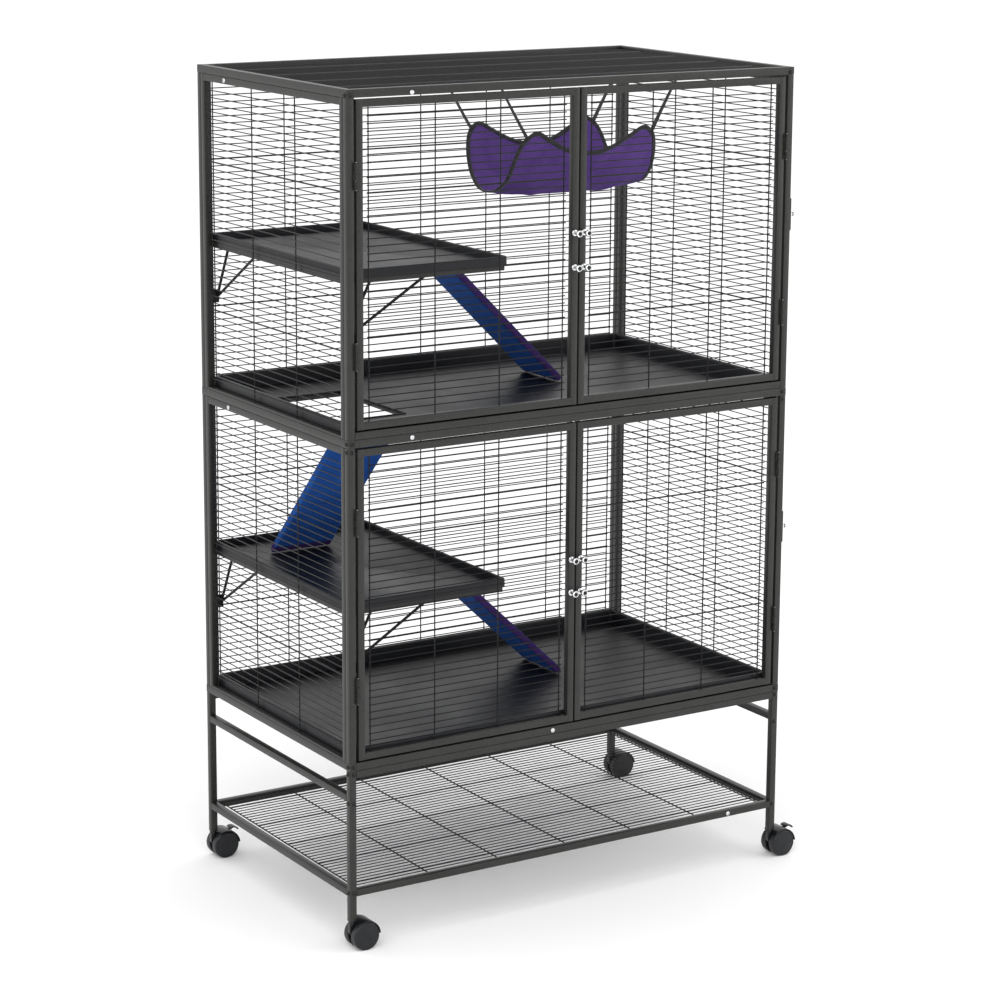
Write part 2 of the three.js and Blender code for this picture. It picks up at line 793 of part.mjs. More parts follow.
// A point of the hammock's middle surface: u runs along it and v across it, both from -1 to 1.
function hammockPoint(u, v) {
  const fall = THREE.MathUtils.degToRad(hammockEdgeTurn);
  const along = 1 - u * u;
  const width = (hammockWidth / 2) * (1 - hammockWaist * along);
  const edge = -hammockSideSag * along;
  const bottom = -hammockEndDepth - (hammockDepth - hammockEndDepth) * along;
  const lift = (1 - Math.cos(v * fall)) / (1 - Math.cos(fall));
  const ridge = Math.exp(-(((Math.abs(u) + Math.abs(v) * 0.6 - 1.05) / 0.16) ** 2));
  return new THREE.Vector3(
    u * (hammockLength / 2 + hammockEndBulge * (1 - v * v)),
    (width * Math.sin(v * fall)) / Math.sin(fall),
    bottom + (edge - bottom) * lift - hammockFold * ridge * (1 - v ** 4),
  );
}

// A cloth of even thickness over a grid of surface points, closed round its edge.
function clothGeometry(point, columns, rows, thickness) {
  const sheets = [[], []];
  for (let i = 0; i <= columns; i += 1) {
    for (let j = 0; j <= rows; j += 1) {
      const u = (2 * i) / columns - 1;
      const v = (2 * j) / rows - 1;
      const step = 0.01;
      const du = point(u + step, v).sub(point(u - step, v));
      const dv = point(u, v + step).sub(point(u, v - step));
      const normal = du.cross(dv).normalize();
      sheets[0].push(point(u, v).addScaledVector(normal, thickness / 2));
      sheets[1].push(point(u, v).addScaledVector(normal, -thickness / 2));
    }
  }
  const points = sheets.flat();
  const under = sheets[0].length;
  const at = (i, j) => i * (rows + 1) + j;
  const faces = [];
  const quad = (a, b, c, d) => faces.push(a, b, c, a, c, d);
  for (let i = 0; i < columns; i += 1) {
    for (let j = 0; j < rows; j += 1) {
      const [a, b, c, d] = [at(i, j), at(i + 1, j), at(i + 1, j + 1), at(i, j + 1)];
      quad(a, b, c, d);
      quad(under + d, under + c, under + b, under + a);
    }
    quad(at(i, 0), under + at(i, 0), under + at(i + 1, 0), at(i + 1, 0));
    quad(at(i + 1, rows), under + at(i + 1, rows), under + at(i, rows), at(i, rows));
  }
  for (let j = 0; j < rows; j += 1) {
    quad(at(0, j + 1), under + at(0, j + 1), under + at(0, j), at(0, j));
    quad(at(columns, j), under + at(columns, j), under + at(columns, j + 1), at(columns, j + 1));
  }
  return new THREE.BufferGeometry().setFromPoints(points).setIndex(faces).toNonIndexed();
}

function addHammock() {
  const middleX = left + hammockLeft + hammockLength / 2;
  const middleY = front + hammockMiddle;
  const cloth = clothGeometry(hammockPoint, 14, 10, hammockThickness);
  cloth.computeVertexNormals();
  piece("hammock", cloth, hammockCloth).position.set(middleX, middleY, hammockHeight);
  const roofWire = roofTop - gridInset - (upright + crosswire) / 2;
  const lean = Math.atan2(roofWire - hammockHeight, strapSplay);
  const endLift = (strapThickness / 2) * Math.cos(lean);
  const edgeTop = (hammockThickness / 2) * Math.cos(THREE.MathUtils.degToRad(hammockEdgeTurn));
  const foot = hammockHeight + edgeTop + seat + endLift;
  const head = roofWire - seat - endLift;
  const rise = head - foot;
  const length = Math.hypot(strapSplay, rise);
  for (const [xLabel, xSide] of [["left", -1], ["right", 1]]) {
    for (const [yLabel, ySide] of [["front", -1], ["back", 1]]) {
      const band = new THREE.BoxGeometry(length, strapWidth, strapThickness);
      const strap = piece(`hammock_strap_${yLabel}_${xLabel}`, band, strapWebbing);
      strap.rotation.y = -xSide * Math.atan2(rise, strapSplay);
      strap.position.set(
        middleX + xSide * (hammockLength / 2 + strapSplay / 2 - strapThickness),
        middleY + ySide * (hammockWidth / 2 - strapWidth / 2),
        (foot + head) / 2,
      );
    }
  }
}

// ---------------------------------------------------------------- casters

const casterHeight = wheelRadius; // of the axle above the floor

// The body of a caster about its swivel axis: stem, core between the wheels, and hood.
function casterBody() {
  const flat = (shape, width) =>
    new THREE.ExtrudeGeometry(shape, { depth: width, bevelEnabled: false, curveSegments: 4 })
      .rotateX(Math.PI / 2)
      .translate(0, width / 2, 0);
  const top = legFoot - seat;
  const [hoodFrom, hoodTo] = [hoodStart, hoodEnd].map(THREE.MathUtils.degToRad);
  const core = new THREE.Shape();
  core.absarc(casterTrail, casterHeight, coreRadius, -Math.PI * 0.75, Math.PI * 0.4);
  core.lineTo(casterTrail, top - 3);
  core.lineTo(-collarRadius, top - 1);
  core.lineTo(-collarRadius, casterHeight + 6);
  const hood = new THREE.Shape();
  hood.absarc(casterTrail, casterHeight, hoodRadius, hoodFrom, hoodTo, false);
  hood.absarc(casterTrail, casterHeight, hoodRadius - hoodThickness, hoodTo, hoodFrom, true);
  const reach = casterCore / 2 + wheelThickness;
  const axleHole = rod(
    [casterTrail, -reach, casterHeight],
    [casterTrail, reach, casterHeight],
    axleRadius + 0.5,
    6,
  );
  return join(
    flat(core, casterCore),
    flat(hood, 2 * reach),
    rod([0, 0, top - collarHeight], [0, 0, top], collarRadius),
    rod([0, 0, top - 1], [0, 0, top + stemLength], stemRadius, 6),
  ).subtract(solid(axleHole));
}

// Two wheels on one axle, about the axle's middle; the axis is Y.
function wheelPair() {
  const inner = casterCore / 2 + wheelGap;
  const outer = inner + wheelThickness;
  const half = [
    [0, -outer],
    [wheelRadius, -outer],
    [wheelRadius, -inner],
    [axleRadius, -inner],
  ];
  const other = half.map(([radius, y]) => [radius, -y]).reverse();
  return turned([...half, ...other], wheelFacets);
}

// A foot lever on the trailing side of a caster, about its pivot: it reaches outwards.
function brakeLever() {
  const half = leverWidth / 2;
  const lift = leverThickness / 2;
  const pad = box(0, leverLength, -half, half, -lift, lift);
  return join(pad, rod([0, -half, 0], [0, half, 0], leverThickness, 6));
}

// The lever's pivot lies against the outside of the hood.
const leverArm = hoodRadius + leverThickness + seat;
const leverAngle = THREE.MathUtils.degToRad(leverStation);
const leverPivot = {
  x: casterTrail + leverArm * Math.cos(leverAngle),
  z: casterHeight + leverArm * Math.sin(leverAngle),
};

function addCasters() {
  const braked = ["front_right", "back_left"];
  for (const [corner, [x, y]] of Object.entries(casterPlaces)) {
    const caster = new THREE.Group();
    caster.position.set(x, y, 0);
    cage.add(caster);
    piece(`caster_body_${corner}`, casterBody(), casterPlastic, caster);
    const wheels = piece(`caster_wheels_${corner}`, wheelPair(), casterPlastic, caster);
    wheels.position.set(casterTrail, 0, casterHeight);
    wheels.rotation.y = Math.PI / wheelFacets; // a flat of the rim on the floor
    if (braked.includes(corner)) {
      const lever = piece(`brake_lever_${corner}`, brakeLever(), casterPlastic, caster);
      lever.position.set(leverPivot.x, 0, leverPivot.z);
      lever.rotation.y = THREE.MathUtils.degToRad(leverTilt);
    }
  }
}

// ---------------------------------------------------------------- the cage

addLegs();
addStandRails();
addStorageShelf();
addFloorsAndRoof();
const tiers = { lower: lowerTier, upper: upperTier };
for (const [name, tier] of Object.entries(tiers)) {
  addWalls(name, tier);
  addPosts(name, tier);
  addDoors(name, tier);
}
const sill = box(
  left + tube + seat,
  right - tube - seat,
  front,
  front + tube,
  upperFloor + ringHeight + seat,
  sillTop,
);
piece("upper_front_sill", sill, framePaint);
addTrays();
addPlatform("lower", lowerPlatformRim);
addPlatform("upper", upperPlatformRim);
addRamps();
addHammock();
addCasters();

// The origin goes under the middle of everything, casters and levers included.
const extent = new THREE.Box3().setFromObject(cage, true);
const middle = extent.getCenter(new THREE.Vector3());
cage.position.set(-middle.x, -middle.y, -extent.min.z);

export default cage;
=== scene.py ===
# %% [markdown]
# # A two-tier ferret cage, dressed in Blender
#
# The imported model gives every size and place: its nodes are simple solids with the joints of the
# real cage. This notebook puts a finely made piece over each of them, in the same frame, so the
# doors, latches, ramps and casters still move. Lengths below are millimetres, as on a workshop
# drawing, and one factor turns them into Blender's metres.

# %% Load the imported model
import json
import math

import bpy
from mathutils import Matrix, Vector


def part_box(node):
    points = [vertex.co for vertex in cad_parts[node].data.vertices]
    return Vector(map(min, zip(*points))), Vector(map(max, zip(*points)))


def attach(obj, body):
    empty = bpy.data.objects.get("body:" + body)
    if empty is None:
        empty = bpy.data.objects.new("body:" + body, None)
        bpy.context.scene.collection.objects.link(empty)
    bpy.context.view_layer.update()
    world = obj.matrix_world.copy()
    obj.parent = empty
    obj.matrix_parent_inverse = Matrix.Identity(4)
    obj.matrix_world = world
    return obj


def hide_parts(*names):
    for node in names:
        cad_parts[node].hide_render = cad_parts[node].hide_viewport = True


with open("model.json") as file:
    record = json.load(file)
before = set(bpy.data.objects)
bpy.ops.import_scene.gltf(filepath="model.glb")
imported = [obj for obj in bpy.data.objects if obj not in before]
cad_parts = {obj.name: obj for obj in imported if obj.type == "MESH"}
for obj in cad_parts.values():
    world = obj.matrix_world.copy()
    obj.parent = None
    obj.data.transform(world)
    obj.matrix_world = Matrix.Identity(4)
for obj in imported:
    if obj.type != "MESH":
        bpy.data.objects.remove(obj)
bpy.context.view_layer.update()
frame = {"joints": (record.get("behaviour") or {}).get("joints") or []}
MM = 0.001

STAND_TOP = 323
roof_low, roof_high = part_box("roof_frame")
stand_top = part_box("stand_leg_front_left")[1].z
# The cage's front left corner on the floor: all places below count from here.
CORNER = Vector((roof_low.x, roof_low.y, stand_top - STAND_TOP * MM))
WIDTH = (roof_high.x - roof_low.x) / MM
DEPTH = (roof_high.y - roof_low.y) / MM


def top_of(node):
    """How far the top of a node is above the floor."""
    return (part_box(node)[1].z - CORNER.z) / MM


def standing(node):
    """How far the foot of a node is above the floor, and how tall the node is."""
    low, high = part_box(node)
    return (low.z - CORNER.z) / MM, (high.z - low.z) / MM


def corners_of(node):
    """The two corners of a node's box, counted from the cage's corner."""
    return [(v - CORNER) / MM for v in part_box(node)]


# %% [markdown]
# ## The camera
#
# The photograph was taken from the left, a little above the cage, with a long lens. The position
# and the angles come from matching the corners of the tubes. A small vertical shift brings the
# corners closer to the photograph, and leaves the views from other sides framed.

# %% Camera
YAW, DIP, ROLL = (math.radians(angle) for angle in (32.189, 11.826, 0.354))
camera_data = bpy.data.cameras.new("camera")
camera_data.sensor_width = 36
camera_data.lens = 2929.8 * 36 / 1000
camera_data.shift_x = -0.0051
camera_data.shift_y = -0.08
camera_data.clip_start = 0.1
camera_data.clip_end = 40
camera = bpy.data.objects.new("camera", camera_data)
bpy.context.scene.collection.objects.link(camera)
turn = (
    Matrix.Rotation(-YAW, 4, "Z")
    @ Matrix.Rotation(math.pi / 2 - DIP, 4, "X")
    @ Matrix.Rotation(ROLL, 4, "Z")
)
camera.matrix_world = Matrix.Translation(CORNER + Vector((-2317.8, -4171.9, 1936.7)) * MM) @ turn
bpy.context.scene.camera = camera
print(f"lens {camera_data.lens:.0f} mm, {(camera.location - CORNER).length:.1f} m from the corner")

# %% [markdown]
# ## Helpers for modelling by hand
#
# In Blender's window one selects, then acts. A script does the same, and an operator acts on all
# that is selected, so `only` clears the selection before each step and `edit` picks faces or
# edges by a test on their place or direction.


# %% Selecting and editing
def only(*pieces):
    """Selects these pieces and nothing else."""
    bpy.ops.object.select_all(action="DESELECT")
    for piece in pieces:
        piece.select_set(True)
    if pieces:
        bpy.context.view_layer.objects.active = pieces[0]


def edit(piece, kind, chosen):
    """Opens a piece in edit mode with the faces or edges that pass a test selected."""
    only(piece)
    bpy.ops.object.mode_set(mode="EDIT")
    bpy.ops.mesh.select_mode(type=kind)
    bpy.ops.mesh.select_all(action="DESELECT")
    bpy.ops.object.mode_set(mode="OBJECT")
    parts = piece.data.polygons if kind == "FACE" else piece.data.edges
    for part in parts:
        part.select = chosen(part)
    bpy.ops.object.mode_set(mode="EDIT")


def close_edit():
    bpy.ops.object.mode_set(mode="OBJECT")


def ends(piece, edge):
    """The two end points of an edge, in millimetres."""
    return [piece.data.vertices[v].co / MM for v in edge.vertices]


def settle(piece):
    """Puts a piece's place, turn and size into its mesh."""
    only(piece)
    bpy.ops.object.transform_apply(location=True, rotation=True, scale=True)
    return piece


def copied(piece, name=None):
    """A copy with its own mesh."""
    twin = piece.copy()
    twin.data = piece.data.copy()
    bpy.context.scene.collection.objects.link(twin)
    if name:
        twin.name = twin.data.name = name
    return twin


def added(name, data):
    """A new object in the scene."""
    piece = bpy.data.objects.new(name, data)
    bpy.context.scene.collection.objects.link(piece)
    return piece


def faced_outwards(piece):
    """Turns the normals of all faces outwards."""
    edit(piece, "FACE", lambda face: True)
    bpy.ops.mesh.normals_make_consistent(inside=False)
    close_edit()
    return piece


def moved(piece, step):
    piece.location = Vector(step) * MM
    return settle(piece)


def applied(piece, kind, **settings):
    """Adds a modifier with these settings and applies it."""
    modifier = piece.modifiers.new(kind.lower(), kind)
    for key, value in settings.items():
        setattr(modifier, key, value)
    only(piece)
    bpy.ops.object.modifier_apply(modifier=modifier.name)
    return piece


def repeated(piece, count, step):
    """A row of copies in one mesh."""
    return applied(
        piece,
        "ARRAY",
        count=count,
        use_relative_offset=False,
        use_constant_offset=True,
        constant_offset_displace=Vector(step) * MM,
    )


def cut_out(piece, tool):
    """Cuts a tool out of a piece and removes the tool."""
    applied(piece, "BOOLEAN", operation="DIFFERENCE", object=tool)
    bpy.data.objects.remove(tool)


def thickened(piece, thickness):
    """Gives a sheet its thickness, half of it on each side."""
    return applied(piece, "SOLIDIFY", thickness=thickness * MM, offset=0)


def painted(piece, material):
    piece.data.materials.clear()
    piece.data.materials.append(material)
    return piece


# %% [markdown]
# ## Colours and materials
#
# Paint charts and photographs give colours in sRGB, and the shader works in linear light, so one
# function turns a hex value into a colour. One more adds a node with its settings and its links,
# so each material below reads from top to bottom like a recipe.


# %% Colour and node helpers
def colour(hex_value):
    channels = [int(hex_value[i : i + 2], 16) / 255 for i in (1, 3, 5)]
    linear = [c / 12.92 if c <= 0.04045 else ((c + 0.055) / 1.055) ** 2.4 for c in channels]
    return (*linear, 1)


def add_node(tree, kind, settings=None, **links):
    """Adds a node. Settings are attributes, or socket values by number; links name its sockets."""
    node = tree.nodes.new(kind)
    for key, value in (settings or {}).items():
        if isinstance(key, int):
            node.inputs[key].default_value = value
        else:
            setattr(node, key, value)
    for socket, source in links.items():
        tree.links.new(source, node.inputs[socket.replace("_", " ")])
    return node


def new_material(name, base, roughness, metallic=0.0, **sockets):
    """A Principled material with its uniform values on the shader's own sockets."""
    material = bpy.data.materials.new(name)
    material.use_nodes = True
    shader = material.node_tree.nodes["Principled BSDF"]
    shader.inputs["Base Color"].default_value = colour(base)
    shader.inputs["Roughness"].default_value = roughness
    shader.inputs["Metallic"].default_value = metallic
    for socket, value in sockets.items():
        shader.inputs[socket.replace("_", " ")].default_value = value
    material.diffuse_color = colour(base)
    return material, material.node_tree, shader


def blend_colours(tree, shader, factor, dark, light, low=0.35, high=0.65):
    """Lets a pattern run the base colour between two hex values."""
    ramp = add_node(tree, "ShaderNodeValToRGB", Fac=factor)
    ramp.color_ramp.elements[0].position = low
    ramp.color_ramp.elements[1].position = high
    ramp.color_ramp.elements[0].color = colour(dark)
    ramp.color_ramp.elements[1].color = colour(light)
    tree.links.new(ramp.outputs["Color"], shader.inputs["Base Color"])


def raise_surface(tree, shader, height, relief_mm, strength=1.0):
    """Turns a 0 to 1 pattern into a bump of a real height."""
    bump = add_node(tree, "ShaderNodeBump", Height=height)
    bump.inputs["Strength"].default_value = strength
    bump.inputs["Distance"].default_value = relief_mm * MM
    tree.links.new(bump.outputs["Normal"], shader.inputs["Normal"])


def place(tree):
    return add_node(tree, "ShaderNodeTexCoord").outputs["Object"]


def per_mm(size):
    """Pattern scale for a feature of this size, since a texture repeats once per metre at 1."""
    return 1000 / size


def noise(tree, size, detail=2.0, roughness=0.5):
    """A cloudy 0 to 1 pattern with features of this size."""
    settings = {2: per_mm(size), 3: detail, 4: roughness}
    return add_node(tree, "ShaderNodeTexNoise", settings, Vector=place(tree)).outputs["Fac"]


def vary_roughness(tree, shader, pattern, low, high):
    """Lets a pattern run the roughness between two values."""
    spread_out = add_node(
        tree, "ShaderNodeMapRange", {1: 0.3, 2: 0.7, 3: low, 4: high}, Value=pattern
    )
    tree.links.new(spread_out.outputs[0], shader.inputs["Roughness"])


def mixed(tree, first, second, share):
    """Two patterns in one, with this share of the second."""
    mix = add_node(tree, "ShaderNodeMix", {"data_type": "FLOAT", 0: share}, A=first, B=second)
    return mix.outputs[0]


# %% [markdown]
# ### Hammered enamel on steel tube
#
# The frame is mild steel tube sprayed with hammer-finish enamel: aluminium flake and silicone in
# the wet paint pull it into small pits. To the eye it is charcoal with soft mottled cells a few
# millimetres wide and a broken, low sheen. Real cells are about 2 mm; they are drawn at 3.5 mm so
# that they show at the size of the photograph.

# %% Hammered enamel
hammered_enamel, tree, shader = new_material(
    "hammered_enamel", "#272726", 0.36, 0.15, Specular_IOR_Level=0.42
)
cells = add_node(
    tree,
    "ShaderNodeTexVoronoi",
    {"feature": "SMOOTH_F1", 2: per_mm(3.5), "voronoi_dimensions": "3D"},
    Vector=place(tree),
)
mottle = mixed(tree, cells.outputs["Distance"], noise(tree, 60, 3.0), 0.45)
blend_colours(tree, shader, mottle, "#2b2b29", "#1c1c1b", 0.25, 0.7)
raise_surface(tree, shader, cells.outputs["Distance"], 0.25, 0.5)
print("hammered enamel: 3.5 mm cells, charcoal")

# %% [markdown]
# ### Wire enamel
#
# The same enamel runs thin on 2 mm wire and cannot form cells, so the wires look smoother and a
# touch darker, with tiny drips and dull spots along their length.

# %% Wire enamel
wire_enamel, tree, shader = new_material(
    "wire_enamel", "#0f0f10", 0.34, 0.1, Specular_IOR_Level=0.22
)
blend_colours(tree, shader, noise(tree, 9), "#0c0c0e", "#131315")

# The heavier roof wires have a thicker, glossier coat that takes a thin streak of light. Their base
# colour is also painted lighter than the other wires' enamel, as a painted highlight.
glossy_enamel_painted_highlight, tree, shader = new_material("glossy_enamel_painted_highlight", "#1a1a1c", 0.1, 0.3)
blend_colours(tree, shader, noise(tree, 14), "#161618", "#242427")

# %% [markdown]
# ### Moulded polypropylene
#
# Trays and platforms are pressed from black polypropylene with a fine leather grain from the
# mould, which scatters the light into a soft grey sheen. The grain is about 0.6 mm and is drawn at
# 1.2 mm. Broad, faint patches of wear keep the large floors from looking painted.

# %% Tray plastic
tray_plastic, tree, shader = new_material(
    "moulded_polypropylene", "#191a1d", 0.42, IOR=1.49, Specular_IOR_Level=0.32
)
grain = add_node(tree, "ShaderNodeTexVoronoi", {2: per_mm(1.2)}, Vector=place(tree))
scuffs = noise(tree, 140, 5.0, 0.6)
blend_colours(tree, shader, scuffs, "#101115", "#17181c", 0.35, 0.7)
vary_roughness(tree, shader, scuffs, 0.36, 0.5)
raise_surface(tree, shader, grain.outputs["Distance"], 0.12, 0.4)

# %% [markdown]
# ### Chrome, zinc and blackened steel
#
# The latch knobs are polished and chrome plated. Screws are zinc plated, which is duller and a
# little blue, or blackened. A metal keeps the shader's own IOR, and only its colour and roughness
# are set; fine turning marks break the zinc's reflection.

# %% Metals
chrome_plate, tree, shader = new_material("chrome_plate", "#e4e5e6", 0.1, 1.0)
vary_roughness(tree, shader, noise(tree, 5, 3.0), 0.06, 0.16)

zinc_plate, tree, shader = new_material("zinc_plate", "#d9dade", 0.3, 1.0)
marks = noise(tree, 0.8)
raise_surface(tree, shader, marks, 0.03, 0.5)
blend_colours(tree, shader, marks, "#c9cad0", "#e6e6e4")

black_steel, tree, shader = new_material("blackened_steel", "#2a2a2b", 0.38, 0.8)
blend_colours(tree, shader, noise(tree, 3), "#222223", "#3a3937")

# %% [markdown]
# ### Fleece, binding and webbing
#
# Polar fleece is a knitted loop cloth brushed into a short nap: a matt colour with small tufts,
# lighter where the nap stands to the light. The sheen socket gives that pale edge. The binding is
# a folded tape with a fine rib, and the straps are woven webbing with ribs 1.5 mm apart.


# %% Cloths
TUFT = 2.2


def fleece(name, middle, deep, pale):
    material, tree, shader = new_material(
        name, middle, 0.95, Sheen_Weight=0.35, Sheen_Roughness=0.5, Specular_IOR_Level=0.2
    )
    shader.inputs["Sheen Tint"].default_value = colour(pale)
    tufts = noise(tree, TUFT, 4.0, 0.65)
    blend_colours(tree, shader, mixed(tree, tufts, noise(tree, 45), 0.4), deep, pale, 0.3, 0.72)
    raise_surface(tree, shader, tufts, 0.5, 0.6)
    return material


purple_fleece = fleece("purple_fleece", "#503879", "#432c69", "#61468b")
blue_fleece = fleece("blue_fleece", "#194a96", "#143d80", "#2258a8")
plum_fleece = fleece("plum_fleece", "#34205a", "#281746", "#432c6c")


def ribbed_tape(name, dark, light, rib_mm):
    material, tree, shader = new_material(name, dark, 0.8, Sheen_Weight=0.15)
    ribs = add_node(
        tree,
        "ShaderNodeTexWave",
        {"wave_type": "BANDS", "bands_direction": "DIAGONAL", 1: per_mm(rib_mm) / 6.3, 2: 0.6},
        Vector=place(tree),
    )
    blend_colours(tree, shader, ribs.outputs["Fac"], dark, light, 0.2, 0.9)
    raise_surface(tree, shader, ribs.outputs["Fac"], 0.25, 0.5)
    return material


binding_tape = ribbed_tape("binding_tape", "#0f0f12", "#1e1e23", 1.2)
strap_webbing = ribbed_tape("strap_webbing", "#101013", "#202024", 1.5)

# %% [markdown]
# ### Caster nylon
#
# Furniture casters are glass-filled nylon: near black, satin, with a faint mottled flow from the
# mould and a brighter line where the edge of the wheel catches the light.

# %% Caster nylon
caster_nylon, tree, shader = new_material(
    "caster_nylon", "#101114", 0.3, IOR=1.53, Specular_IOR_Level=0.35
)
blend_colours(tree, shader, noise(tree, 14, 3.0), "#0c0d10", "#141519")
raise_surface(tree, shader, noise(tree, 1.0), 0.05, 0.4)
tyre_rubber, tree, shader = new_material("tyre_rubber", "#15161a", 0.5)
blend_colours(tree, shader, noise(tree, 6, 3.0), "#121316", "#1d1e22")
print("materials:", ", ".join(material.name for material in bpy.data.materials))

# %% [markdown]
# ## Building blocks
#
# Nearly all of the cage is square tube and round wire. A tube starts as a cube stretched between
# two corners; bevelling its long edges gives the rolled corners that catch a thin line of light.
# A bar starts as a cylinder, and its ends are inset and pushed out a little, as a sheared wire
# end is. Turned pieces grow from a disc that is extruded and scaled, step by step, as on a lathe.


# %% Tube, bar, plate and turned piece
def cube(low, high):
    """A sharp box between two corners."""
    only()
    bpy.ops.mesh.primitive_cube_add(size=1, location=(low + high) / 2 * MM)
    piece = bpy.context.object
    piece.scale = (high - low) * MM
    return settle(piece)


def tube(low, high, material=hammered_enamel, rounding=1.1):
    """A square tube between two corners, with rolled long edges."""
    low, high = Vector(low), Vector(high)
    size = high - low
    along = max(range(3), key=lambda axis: size[axis])
    piece = cube(low, high)

    def is_long(edge):
        a, b = ends(piece, edge)
        return abs((a - b)[along]) > size[along] / 2

    edit(piece, "EDGE", is_long)
    bpy.ops.mesh.bevel(offset=rounding * MM, segments=2, affect="EDGES")
    close_edit()
    return painted(piece, material)


def block(low, high, material, rounding=0.6, segments=2):
    """A box with all its edges rounded."""
    low, high = Vector(low), Vector(high)
    piece = cube(low, high)
    edit(piece, "EDGE", lambda edge: True)
    bpy.ops.mesh.bevel(offset=rounding * MM, segments=segments, affect="EDGES")
    close_edit()
    return painted(piece, material)


def bar(start, end, radius, material=wire_enamel, sides=8):
    """A round bar between two points, with slightly domed ends."""
    start, end = Vector(start), Vector(end)
    line = end - start
    only()
    bpy.ops.mesh.primitive_cylinder_add(vertices=sides, radius=radius * MM, depth=line.length * MM)
    piece = bpy.context.object
    edit(piece, "FACE", lambda face: len(face.vertices) > 4 or abs(face.normal.z) > 0.9)
    bpy.ops.mesh.inset(thickness=radius * 0.35 * MM, depth=radius * 0.25 * MM)
    close_edit()
    piece.rotation_mode = "QUATERNION"
    piece.rotation_quaternion = line.to_track_quat("Z", "Y")
    piece.location = (start + end) / 2 * MM
    settle(piece)
    piece.rotation_mode = "XYZ"
    return painted(piece, material)


def turned(steps, material, sides=32):
    """A turned piece about Z: each step is (radius, height), the first one closed by a disc."""
    (radius, height), *rest = steps
    only()
    bpy.ops.mesh.primitive_circle_add(
        vertices=sides, radius=radius * MM, fill_type="NGON", location=(0, 0, height * MM)
    )
    piece = settle(bpy.context.object)
    edit(piece, "FACE", lambda face: True)
    for next_radius, next_height in rest:
        rise = (0, 0, (next_height - height) * MM)
        bpy.ops.mesh.extrude_region_move(TRANSFORM_OT_translate={"value": rise})
        if next_radius != radius:
            ratio = next_radius / radius
            bpy.ops.transform.resize(
                value=(ratio, ratio, 1), center_override=(0, 0, next_height * MM)
            )
        radius, height = next_radius, next_height
    bpy.ops.mesh.select_all(action="SELECT")
    bpy.ops.mesh.remove_doubles(threshold=0.00001)
    bpy.ops.mesh.normals_make_consistent(inside=False)
    close_edit()
    return painted(piece, material)


def turned_to(piece, x=0, y=0, z=0):
    piece.rotation_euler = [math.radians(angle) for angle in (x, y, z)]
    return settle(piece)


def join(name, parts, angle=35):
    """Joins parts into one piece and shades it smooth up to an angle."""
    only(*parts)
    bpy.ops.object.join()
    piece = bpy.context.object
    piece.name = piece.data.name = name
    only(piece)
    bpy.ops.object.shade_smooth_by_angle(angle=math.radians(angle))
    return piece


def set_down(piece, where=(0, 0, 0), turn=0, tilt=0):
    """Tilts a piece about X, turns it about Z and sets it down at a place in the cage."""
    piece.rotation_euler = (math.radians(tilt), 0, math.radians(turn))
    piece.location = CORNER + Vector(where) * MM
    return settle(piece)


def stands_for(piece, node, body="cage"):
    """The piece rides on a body and hides a CAD node."""
    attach(piece, body)
    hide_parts(node)
    return piece


# %% [markdown]
# ## Wire panels
#
# A panel is a welded frame with wires inside its depth: crosswires every half inch, welded to a
# few uprights, and a few heavier crosswires that stiffen the net. The crosswires stop just past the
# outer uprights, so a slit is left beside the stiles. One crosswire is modelled and repeated by an
# array; the panel is built lying against the XZ plane and is turned into place when it is done.

# %% Panel builder
TUBE = 12.7
PITCH = 12.7
WIRE_FACE = 4.7  # from the outer face of a panel to its crosswires
CROSSWIRE, UPRIGHT, STIFFENER = 1.0, 1.2, 1.5  # radii


def spread(count, pitch, middle):
    return [middle + (i - (count - 1) / 2) * pitch for i in range(count)]


def wire_net(
    first,
    last,
    uprights,
    low,
    high,
    root,
    face=WIRE_FACE,
    stiffeners=(0.25, 0.75),
    gloss=wire_enamel,
):
    """Crosswires from low to high with uprights just behind them, and a few heavier crosswires."""
    rows = math.floor((high - low) / PITCH) - 1
    heights = spread(rows, PITCH, (low + high) / 2)
    stub = 3.5
    y = face + CROSSWIRE
    crosswires = bar((first - stub, y, heights[0]), (last + stub, y, heights[0]), CROSSWIRE)
    repeated(crosswires, rows, (0, 0, PITCH))
    parts = [crosswires]
    for share in stiffeners:
        z = heights[round(share * (rows - 1))]
        parts.append(bar((first - stub, y, z), (last + stub, y, z), STIFFENER, gloss))
    back = y + CROSSWIRE + UPRIGHT - 0.2
    step = (last - first) / (uprights - 1)
    posts = bar((first, back, low - root), (first, back, high + root), UPRIGHT)
    repeated(posts, uprights, (step, 0, 0))
    return [*parts, posts]


def wire_panel(name, width, height, foot, uprights, gap, depth=TUBE, **net_extras):
    """A framed panel whose lower left outer corner is the origin."""
    parts = [
        tube((0, 0, 0), (TUBE, depth, height)),
        tube((width - TUBE, 0, 0), (width, depth, height)),
        tube((TUBE - 0.5, 0, 0), (width - TUBE + 0.5, depth, foot)),
        tube((TUBE - 0.5, 0, height - TUBE), (width - TUBE + 0.5, depth, height)),
    ]
    net = wire_net(
        TUBE + gap,
        width - TUBE - gap,
        uprights,
        foot,
        height - TUBE,
        min(foot, 4) / 2,
        **net_extras,
    )
    return join(name, parts + net)


# %% [markdown]
# ### Screws
#
# Machine screws hold the panels together: zinc ones in the middle of the rails and black ones at
# the posts. The head is a low dome grown from a disc, with a cross recess cut by two thin blocks.


